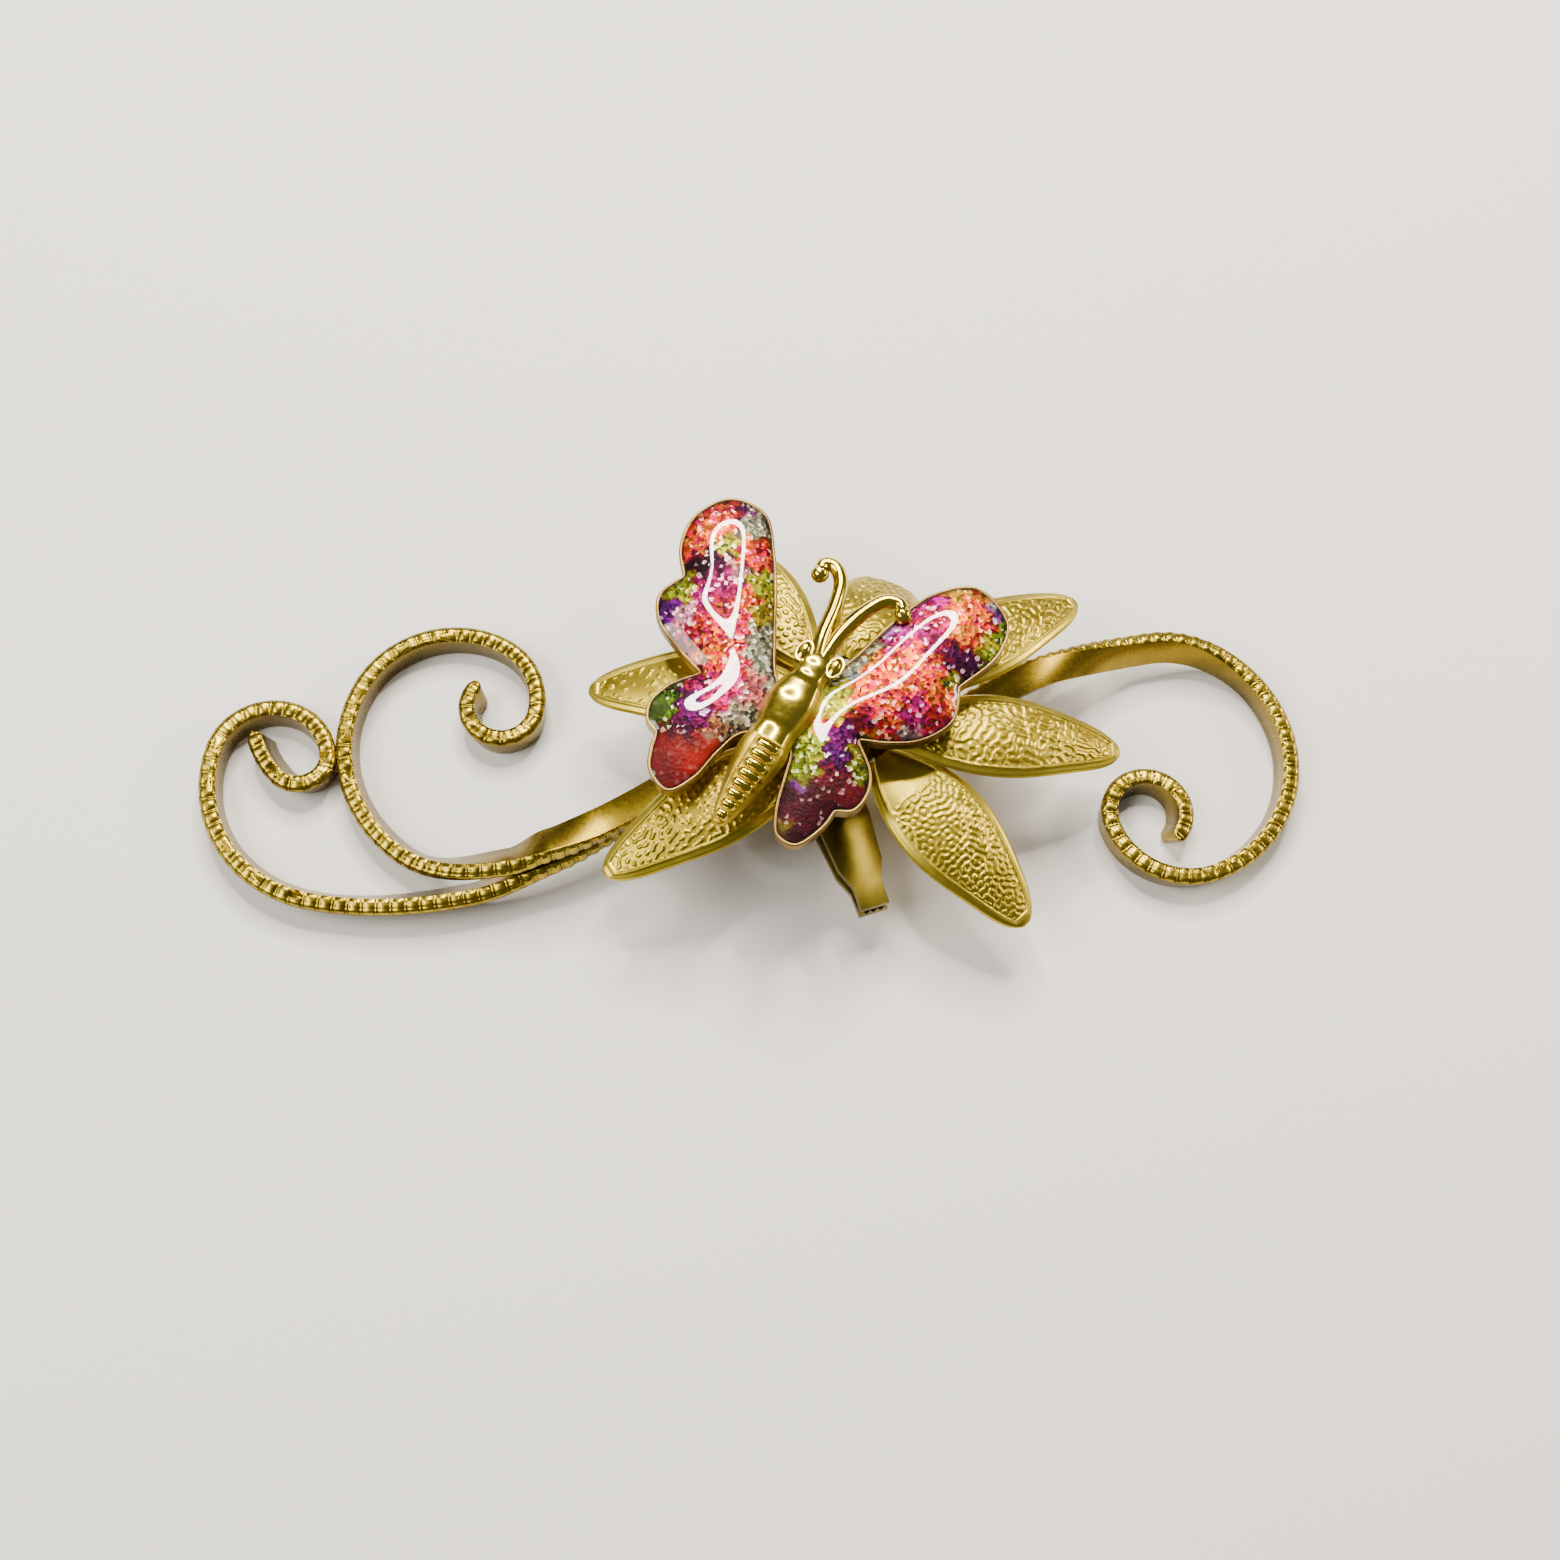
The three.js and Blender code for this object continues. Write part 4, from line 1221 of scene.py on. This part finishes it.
@dataclass
class Butterfly:
    """The cast butterfly: ribbed body, eyes, antennae and the two resin-filled wings. Sizes in mm."""

    head: tuple[float, float] = (4.5, 4.9)
    tail: tuple[float, float] = (-3.5, -8.0)
    level: float = 11.6
    flatness: float = 0.7
    ribs: int = 8
    rib_reach: float = 0.95
    rib_shift: float = -0.30
    rib_height: float = 0.34
    rib_ground: float = 0.10
    wire: float = 0.62
    wire_taper: float = 0.10
    ball: float = 0.68
    profile: list[tuple[float, float]] = field(
        default_factory=lambda: [
            (-0.005, 0.02), (0.01, 0.42), (0.04, 0.66), (0.12, 1.0), (0.3, 1.58), (0.42, 1.82), (0.49, 1.66),
            (0.54, 1.58), (0.6, 1.76), (0.7, 2.0), (0.8, 1.68), (0.87, 1.28), (0.92, 1.36), (0.96, 1.25),
            (1.0, 0.82), (1.02, 0.35), (1.025, 0.02),
        ]
    )

    def left_wing(self) -> Wing:
        """Gives the left wing's sizes and colours."""
        return Wing(
            "left", (1.9, 1.9),
            [
                [
                    (1.2, 3.4), (1.2, 6.8), (1.4, 10.1), (1.4, 13.5), (0.8, 17.0), (-1.8, 18.3),
                    (-4.6, 16.8), (-5.7, 14.2), (-5.5, 11.8),
                ],
                [(-7.3, 10.3), (-7.4, 8.2), (-6.2, 6.1), (-4.5, 3.9)],
                [(-6.7, 3.0), (-8.2, 1.5), (-8.3, 0.2), (-7.7, -0.7)],
                [
                    (-8.1, -2.0), (-8.2, -3.6), (-6.9, -5.3), (-5.0, -4.4), (-3.2, -2.4), (-1.7, -1.1),
                    (-0.2, -0.9),
                ],
            ],
            [
                (-4.0, 17.0, 1.6, "D02A2C"), (-2.2, 17.4, 1.5, "D83418"), (-0.9, 17.2, 0.9, "7A2A78"),
                (0.3, 15.9, 1.6, "B4B4A4"), (-4.8, 14.6, 1.4, "FC7820"), (-3.0, 15.6, 1.2, "FA7424"),
                (-2.4, 13.9, 1.0, "C8C890"), (0.2, 13.3, 1.4, "F25424"), (-3.4, 12.5, 1.4, "64144E"),
                (-3.0, 10.4, 1.6, "B02888"), (-1.4, 11.6, 0.9, "C0A8A4"), (0.5, 10.7, 1.1, "CCCC1E"),
                (-2.5, 9.0, 1.2, "B81C48"), (0.5, 8.5, 1.1, "C4B42C"), (-0.6, 9.4, 0.8, "FF9834"),
                (-5.9, 10.7, 1.2, "BCC020"), (-6.7, 8.8, 1.1, "9A50A8"), (-5.6, 8.0, 1.1, "E4C4CC"),
                (-5.0, 6.7, 1.5, "CC4060"), (-3.6, 5.0, 1.5, "FF8C20"), (-2.0, 7.0, 1.4, "ECA0A8"),
                (0.4, 6.4, 1.3, "ACAC9C"), (0.2, 4.8, 1.3, "D4D4C4"), (-2.2, 4.0, 1.3, "DC8090"),
                (-0.8, 2.4, 1.4, "DCACAC"), (-4.0, 3.1, 1.0, "C44080"), (-3.0, 1.8, 1.3, "D480A0"),
                (-7.4, 1.1, 1.5, "7C9820"), (-5.0, 0.9, 1.3, "8C2884"), (-1.9, 0.3, 1.3, "CCC4B4"),
                (-5.9, -0.5, 1.1, "7A1C60"), (-3.3, -0.7, 1.0, "C8A898"), (-6.9, -2.0, 1.6, "AC2C18"),
                (-6.6, -3.8, 1.9, "AA2028"), (-4.6, -2.7, 1.5, "C44C28"), (1.0, 2.4, 1.0, "CCC8BC"),
            ],
            [(-6.4, -3.4, 2.6), (-4.4, -2.6, 1.6), (-7.7, 1.2, 1.0)],
        )

    def right_wing(self) -> Wing:
        """Gives the right wing's sizes and colours."""
        return Wing(
            "right", (3.6, 2.8),
            [
                [(6.4, 4.6), (9.6, 7.6), (12.9, 10.0), (16.3, 10.5), (18.4, 7.6), (17.4, 4.8), (14.4, 2.3)],
                [(14.2, 0.9), (13.6, -0.5), (11.4, -1.8), (9.1, -2.0), (6.9, -1.7)],
                [(7.6, -4.0), (7.3, -5.8), (6.2, -7.1), (4.9, -7.1)],
                [(4.0, -8.3), (1.9, -9.6), (0.6, -8.7), (0.6, -6.8), (1.4, -4.0), (1.8, -2.4), (1.2, -1.2)],
            ],
            [
                (13.0, 9.5, 1.2, "DC90C4"), (14.6, 10.0, 1.1, "DCBC24"), (16.2, 9.8, 1.0, "E4A42C"),
                (17.3, 9.2, 0.8, "D8D8D0"), (17.6, 8.3, 1.0, "B490BC"), (15.6, 8.7, 1.4, "FF8C20"),
                (16.3, 7.2, 1.3, "FA801C"), (17.6, 6.6, 0.9, "90AC20"), (16.6, 5.8, 1.2, "D4C41C"),
                (17.0, 5.0, 1.0, "BCCC18"), (15.1, 6.2, 1.1, "FF9A24"), (14.6, 4.5, 1.2, "801C70"),
                (12.9, 5.2, 1.0, "A42070"), (11.2, 7.2, 1.5, "C42890"), (12.8, 8.1, 1.2, "D43878"),
                (9.8, 7.0, 1.1, "DCBCE4"), (8.2, 5.8, 1.1, "E4E4D4"), (9.8, 5.6, 1.2, "CC3090"),
                (6.8, 4.4, 1.2, "B4B4AC"), (5.4, 3.4, 1.2, "A4A4A4"), (8.6, 4.2, 1.2, "FFA044"),
                (10.6, 4.2, 1.5, "FF8820"), (9.6, 2.6, 1.8, "F86A1C"), (12.0, 3.4, 1.4, "FA7820"),
                (12.7, 1.6, 1.4, "FC8820"), (11.0, 0.5, 1.3, "DC50A4"), (12.4, -0.3, 1.2, "CC4070"),
                (13.5, 2.6, 0.8, "98A020"), (9.0, 0.6, 1.3, "E84434"), (8.5, -0.9, 0.9, "E47824"),
                (10.6, -1.4, 0.9, "CCB4B4"), (7.3, 1.7, 1.2, "FA781E"), (5.6, 1.8, 1.2, "B4B41C"),
                (5.2, 0.5, 1.1, "E4DC1C"), (6.9, 0.1, 1.0, "A0284C"), (5.6, -1.4, 1.1, "94208C"),
                (4.3, -0.8, 0.8, "D88098"), (3.2, -2.3, 1.3, "B4BC24"), (3.0, -4.0, 1.3, "9CA41C"),
                (5.0, -3.0, 1.2, "782080"), (6.9, -2.7, 1.0, "ACAC20"), (7.0, -4.2, 1.0, "949C1C"),
                (4.6, -4.6, 1.3, "8A1440"), (3.4, -6.4, 1.8, "701038"), (6.0, -6.0, 1.4, "981C40"),
                (2.3, -5.3, 0.5, "A880B8"), (2.4, -8.0, 1.6, "78143C"), (1.3, -8.1, 0.7, "9C941C"),
                (4.2, -7.2, 1.3, "801840"),
            ],
            [(3.4, -6.8, 2.4), (5.6, -6.2, 1.6), (2.0, -8.4, 1.6)],
            sparse=0.45,
        )

    def axis(self) -> tuple[np.ndarray, np.ndarray, float]:
        """Gives the body's start at the tail, its direction and its length.

        Returns:
            The start, the direction and the length.
        """
        start, end = np.array(self.tail), np.array(self.head)
        length = float(np.linalg.norm(end - start))
        return start, (end - start) / length, length

    def body(self) -> bpy.types.Object:
        """Makes the body: ribbed abdomen, thorax and head.

        Returns:
            The body.
        """
        start, ahead, length = self.axis()
        aside = np.array([-ahead[1], ahead[0]])
        knots = spline(self.profile, 12)
        low, high = self.profile[0][0], self.profile[-1][0]
        depths: list[np.ndarray] = []

        def shape(share: np.ndarray, around: np.ndarray) -> np.ndarray:
            """Places the body's vertices.

            Args:
                share: Shares along the piece.
                around: Turns round it.

            Returns:
                The places in mm.
            """
            at = low + (high - low) * share
            half = np.interp(at, knots[:, 0], knots[:, 1])
            turn = 2 * np.pi * around
            over, height = np.cos(turn), np.sin(turn)
            # Capsule-shaped ribs in a row over the abdomen, on plain sloping skirts.
            row = np.clip((at - 0.02) / 0.44, 0, 1)
            beat = np.mod(row * self.ribs, 1.0) - 0.5
            reach = self.rib_reach * (0.5 + 0.5 * smooth(row / 0.6))
            aside_mm = over * half - self.rib_shift * smooth(row / 0.7)
            past_middle = np.maximum(np.abs(aside_mm) - reach * 0.55, 0) / (reach * 0.45)
            swell = 1 - (beat / 0.44) ** 2 - past_middle**2
            in_row = (height > 0) & (at > 0.02) & (at < 0.46)
            ground = self.rib_ground * smooth((reach + 0.2 - np.abs(aside_mm)) / 0.2)
            rib = np.where(in_row, self.rib_height * np.sqrt(np.clip(swell, 0, 1)) - ground, 0)
            # Relief for the finish: the back's crest and the rib tops count as polished, and the sides and
            # the gaps between ribs get a browner tone, partly tarnish and partly painted shade.
            crest = smooth((height - 0.62) / 0.25)
            polished = np.where(at < 0.47, np.clip(swell * 3, 0, 1), crest)
            depths.append(0.45 + 0.55 * polished)
            flat = start + ahead * (at * length)[:, None] + aside * (half * over)[:, None]
            # The back is a narrower ridge that stands on broad shoulders.
            ridge = 0.62 * np.abs(height) ** 0.9 + 0.38 * smooth((height - 0.35) / 0.4)
            back = np.where(height > 0, ridge, -np.abs(height))
            z = self.level + half * self.flatness * back + rib
            return np.column_stack([flat, z]) + OFFSET

        piece = sweep("butterfly_body", 96, 484, shape)
        note(piece, "relief", np.clip(depths[0], 0, 1))
        return piece

    def eye(self, x: float, y: float) -> bpy.types.Object:
        """Makes one domed eye with a step round it.

        Args:
            x: Its place along X.
            y: Its place along Y.

        Returns:
            The eye.
        """
        _, ahead, _ = self.axis()
        aside = np.array([-ahead[1], ahead[0]])

        def shape(share: np.ndarray, around: np.ndarray) -> np.ndarray:
            """Places the eye's vertices from its foot to its crown.

            Args:
                share: Shares along the piece.
                around: Turns round it.

            Returns:
                The places in mm.
            """
            turn = 2 * np.pi * around
            step = np.interp(share, [0, 0.3, 0.38, 0.46, 1], [1, 1, 0.97, 0.8, 0.0])
            rise = np.interp(share, [0, 0.3, 0.38, 0.46, 0.7, 1], [0, 0.42, 0.47, 0.45, 0.66, 0.74])
            flat = np.array([x, y]) + ahead * (0.95 * step * np.sin(turn))[:, None]
            flat += aside * (0.6 * step * np.cos(turn))[:, None]
            return np.column_stack([flat, self.level + 0.4 + rise * 0.9]) + OFFSET

        piece = sweep("butterfly_eye", 24, 36, shape)
        note(piece, "relief", np.ones(len(piece.data.vertices)))
        return piece

    def antenna(self, knots: list[tuple[float, float, float]]) -> bpy.types.Object:
        """Makes one antenna: a tapering wire that ends in a ball.

        Args:
            knots: Its centre line from the head outwards, with heights over the body's level.

        Returns:
            The antenna.
        """
        line = spline([(x, y, self.level + up) for x, y, up in knots], 16)
        ball = self.ball

        def shape(share: np.ndarray, around: np.ndarray) -> np.ndarray:
            """Places the antenna's vertices.

            Args:
                share: Shares along the piece.
                around: Turns round it.

            Returns:
                The places in mm.
            """
            total = float(np.sum(np.linalg.norm(np.diff(line, axis=0), axis=1)))
            reach = total - ball
            distance = share * (total + ball * 0.999)
            centre = even(line, np.clip(distance / total, 0, 1))
            nearby = even(line, np.clip(distance / total - 0.02, 0, 0.98))
            further = even(line, np.clip(distance / total + 0.02, 0.02, 1))
            ahead = further - nearby
            ahead /= np.linalg.norm(ahead, axis=1)[:, None]
            past = np.maximum(distance - total, 0)
            centre = centre + ahead * past[:, None]
            side = np.column_stack([-ahead[:, 1], ahead[:, 0], np.zeros(len(ahead))])
            side /= np.linalg.norm(side, axis=1)[:, None]
            up = np.cross(ahead, side)
            wire = self.wire - self.wire_taper * share
            globe = np.sqrt(np.maximum(ball**2 - (distance - total) ** 2, 0))
            radius = np.where(distance > reach, np.maximum(globe, np.where(distance < total, wire, 0)), wire)
            turn = 2 * np.pi * around
            section = side * (radius * np.cos(turn))[:, None] + up * (radius * np.sin(turn))[:, None]
            return centre + section + OFFSET

        piece = sweep("butterfly_antenna", 16, 144, shape)
        note(piece, "relief", np.ones(len(piece.data.vertices)))
        return piece

    def build(self) -> None:
        """Makes and dresses the butterfly."""
        parts = [
            self.body(),
            self.eye(3.15, 5.0),
            self.eye(5.3, 3.6),
            self.antenna([
                (3.9, 4.2, 0.15), (4.5, 6.2, 0.35), (5.6, 8.8, 0.35), (6.1, 10.9, 0.15), (5.7, 12.1, 0.15),
                (4.95, 12.3, 0.15), (4.6, 11.5, 0.15),
            ]),
            self.antenna([
                (4.4, 4.4, 0.15), (6.0, 6.6, 0.35), (7.9, 8.4, 0.25), (9.4, 9.2, 0.15), (10.35, 8.9, 0.15),
                (10.5, 8.0, 0.15),
            ]),
        ]
        dress(join("butterfly_body", parts), CAST_BODY, "ornament", "cast_gold", "butterfly_casting")
        for wing in (self.left_wing(), self.right_wing()):
            dress(wing.tray(), CAST_CELL, "ornament", "cast_gold", "butterfly_casting")
            fill = GlitterResin("doming_resin_glitter_" + wing.side)
            dress(wing.resin(), fill, "ornament", wing.side + "_resin", wing.side + "_wing_enamel")


# ---------------------------------------------------------------------------
# Clip, plate and post
# ---------------------------------------------------------------------------


@dataclass
class TorsionSpring:
    """The clip's torsion spring, wound round the pivot pin. Sizes in mm, in the clip's own directions."""

    pivot: tuple[float, float, float] = (3.3, 4.5, 2.35)
    heading: float = -73.7
    coil_radius: float = 0.98
    wire_radius: float = 0.222
    half_span: float = 1.105
    coils: float = 3.5
    leg: float = 4.5

    def row(self, along: np.ndarray, across: np.ndarray, up: np.ndarray) -> np.ndarray:
        """Turns the clip's own directions into positions of the whole object.

        Args:
            along: Distance from the pivot towards the jaws.
            across: Distance along the pin.
            up: Height over the pin.

        Returns:
            The positions, one row each.
        """
        turn = math.radians(self.heading)
        x = self.pivot[0] + along * math.cos(turn) - across * math.sin(turn)
        y = self.pivot[1] + along * math.sin(turn) + across * math.cos(turn)
        return np.column_stack([x, y, self.pivot[2] + up]) + OFFSET

    def centre_line(self, distance: np.ndarray) -> np.ndarray:
        """Gives the wire's centre at distances along it: lower leg, coils, upper leg.

        Args:
            distance: Distances along the wire, in mm.

        Returns:
            The places, one row each.
        """
        wound = self.coils * 2 * np.pi * self.coil_radius
        share = np.clip((distance - self.leg) / wound, 0, 1)
        turn = share * self.coils * 2 * np.pi
        off_coil = np.minimum(distance - self.leg, 0) - np.maximum(distance - self.leg - wound, 0)
        along = self.coil_radius * np.sin(turn) + off_coil
        across = self.half_span * (2 * share - 1)
        return self.row(along, across, -self.coil_radius * np.cos(turn))

    def build(self) -> None:
        """Makes the spring: a coil round the pin with a straight leg at each end."""
        total = self.coils * 2 * np.pi * self.coil_radius + 2 * self.leg
        heading = self.row(np.zeros(2), np.array([0.0, 1.0]), np.zeros(2))
        pin = heading[1] - heading[0]

        def shape(share: np.ndarray, around: np.ndarray) -> np.ndarray:
            """Places the wire's vertices.

            Args:
                share: Shares along the piece.
                around: Turns round it.

            Returns:
                The places in mm.
            """
            distance = share * total
            ahead = self.centre_line(distance + 0.02) - self.centre_line(distance - 0.02)
            ahead /= np.linalg.norm(ahead, axis=1)[:, None]
            side = np.cross(ahead, pin)
            side /= np.linalg.norm(side, axis=1)[:, None]
            other = np.cross(ahead, side)
            near_end = np.clip(np.minimum(distance, total - distance) / 0.1, 0, 1)
            radius = self.wire_radius * (0.6 + 0.4 * np.sqrt(1 - (1 - near_end) ** 2))
            turn = 2 * np.pi * around
            section = side * (radius * np.cos(turn))[:, None] + other * (radius * np.sin(turn))[:, None]
            return self.centre_line(distance) + section

        piece = sweep("clip_torsion_spring", 14, 600, shape)
        piece.data.materials.clear()
        piece.data.materials.append(SHOP.material(SPRING_WIRE))
        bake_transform(piece)
        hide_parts("clip_spring")
        LOG.info("%s: %d faces", piece.name, len(piece.data.polygons))


@dataclass
class Mount:
    """The alligator clip with its spring, and the plate and post above it. Sizes in mm."""

    edge: float = 0.07
    parts: list[tuple[str, str]] = field(
        default_factory=lambda: [
            ("clip_upper_jaw", "ornament"), ("clip_lower_jaw", "lower_jaw"), ("clip_pivot_pin", "ornament"),
            ("backing_plate", "ornament"), ("centre_post", "ornament"),
        ]
    )

    def eased(self, node: str) -> bpy.types.Object:
        """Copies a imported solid, joins its triangles and rounds its edges.

        Args:
            node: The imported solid.

        Returns:
            The eased copy.
        """
        deselect()
        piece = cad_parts[node].copy()
        piece.data = piece.data.copy()
        piece.parent = None
        for key in list(piece.keys()):
            del piece[key]
        piece.name = node + "_eased"
        bpy.context.scene.collection.objects.link(piece)
        pick(piece)
        bpy.ops.object.mode_set(mode="EDIT")
        bpy.ops.mesh.select_all(action="SELECT")
        bpy.ops.mesh.remove_doubles(threshold=0.002 * MM)
        bpy.ops.mesh.dissolve_limited(angle_limit=math.radians(1.0))
        bpy.ops.object.mode_set(mode="OBJECT")
        bevel = piece.modifiers.new("edges", "BEVEL")
        bevel.width = self.edge * MM
        bevel.segments = 3
        bevel.limit_method = "ANGLE"
        bevel.angle_limit = math.radians(35)
        bevel.use_clamp_overlap = True
        apply_modifiers(piece)
        settle(piece, 35, outward=False)
        return piece

    def build(self) -> None:
        """Makes and dresses the clip, the plate and the post."""
        for node, body in self.parts:
            sheet = node in ("backing_plate", "centre_post")
            finish, slot = (ROLLED_SHEET, "plate_gold") if sheet else (CLIP_SHEET, "clip_gold")
            dress(self.eased(node), finish, body, slot, node)
        TorsionSpring().build()


# ---------------------------------------------------------------------------
# Studio
# ---------------------------------------------------------------------------


@dataclass
class Studio:
    """Camera, pale floor and soft lights. Sizes in mm."""

    eye: tuple[float, float, float] = (-6.27, -56.4, 134.0)
    turn: tuple[float, float, float] = (21.96, -2.58, -2.12)
    lens: float = 43.3
    aim: tuple[float, float, float] = (4.0, 0.0, 6.0)
    ring_radius: float = 80.0
    ring_tube: float = 17.0
    ring_lights: int = 28
    floor_side: float = 1600.0
    floor_gap: float = 0.02

    def camera(self) -> None:
        """Places the camera."""
        data = bpy.data.cameras.new("camera")
        data.lens = self.lens
        data.sensor_width = 36.0
        data.clip_start = 0.005
        data.clip_end = 10.0
        camera = bpy.data.objects.new("camera", data)
        camera.location = [value * MM for value in self.eye]
        camera.rotation_euler = [math.radians(value) for value in self.turn]
        bpy.context.scene.collection.objects.link(camera)
        bpy.context.scene.camera = camera

    def light(self, name: str, place_mm: tuple, size_mm: tuple, watts: float, colour: str) -> None:
        """Adds a soft light that faces the clip.

        Args:
            name: The light's name.
            place_mm: Where it stands.
            size_mm: Its width and height.
            watts: Its power.
            colour: Its colour.
        """
        data = bpy.data.lights.new(name, "AREA")
        data.shape = "RECTANGLE"
        data.size, data.size_y = (value * MM for value in size_mm)
        data.energy = watts
        data.color = linear(colour)[:3]
        lamp = bpy.data.objects.new(name, data)
        lamp.location = [value * MM for value in place_mm]
        towards = Vector(self.aim) * MM - lamp.location
        lamp.rotation_euler = towards.to_track_quat("-Z", "Y").to_euler()
        bpy.context.scene.collection.objects.link(lamp)

    def build(self) -> None:
        """Makes the floor, the lights and the surrounding light."""
        deselect()
        bpy.ops.mesh.primitive_plane_add(size=self.floor_side * MM, location=(0, 0, -self.floor_gap * MM))
        floor = bpy.context.object
        floor.name = "floor"
        g = Graph("pale_floor")
        shader = g.add("BsdfPrincipled", Base_Color=linear("E6E3DE"), Roughness=0.75)
        floor.data.materials.append(g.finish(shader))
        world = bpy.data.worlds.new("surroundings")
        bpy.context.scene.world = world
        world.use_nodes = True
        world.node_tree.nodes["Background"].inputs["Color"].default_value = linear("C9CDD2")
        world.node_tree.nodes["Background"].inputs["Strength"].default_value = 0.27
        self.ring_light((8, 205, 300), 3.1, "FFF8EC")
        self.light("fill", (-240, -40, 280), (240, 180), 1.5, "FBF8F0")
        self.light("side", (300, 60, 160), (140, 60), 0.8, "FFF1DC")

    def ring_light(self, place_mm: tuple, watts: float, colour: str) -> None:
        """Adds a ring of small lights end to end, which glossy domes mirror as a closed loop.

        Args:
            place_mm: Where its centre stands.
            watts: The power of the whole ring.
            colour: Its colour.
        """
        radius, width, count = self.ring_radius, self.ring_tube, self.ring_lights
        centre = Vector(place_mm)
        out = (centre - Vector(self.aim)).normalized()
        side = out.orthogonal().normalized()
        other = out.cross(side)
        chord = 2 * radius * math.tan(math.pi / count)
        for index in range(count):
            turn = 2 * math.pi * index / count
            radial = side * math.cos(turn) + other * math.sin(turn)
            along = out.cross(radial)
            data = bpy.data.lights.new(f"ring_{index}", "AREA")
            data.shape = "RECTANGLE"
            data.size, data.size_y = chord * MM, width * MM
            data.energy = watts / count
            data.color = linear(colour)[:3]
            lamp = bpy.data.objects.new(data.name, data)
            matrix = Matrix((along, radial, out)).transposed().to_4x4()
            matrix.translation = (centre + radial * radius) * MM
            lamp.matrix_world = matrix
            bpy.context.scene.collection.objects.link(lamp)


def main() -> None:
    """Builds the hair clip and its studio."""
    logging.basicConfig(level=logging.INFO, format="%(message)s")
    studio = Studio()
    studio.camera()
    Scrolls().build()
    LeafFan().build()
    Butterfly().build()
    Mount().build()
    studio.build()


if __name__ == "__main__":
    main()
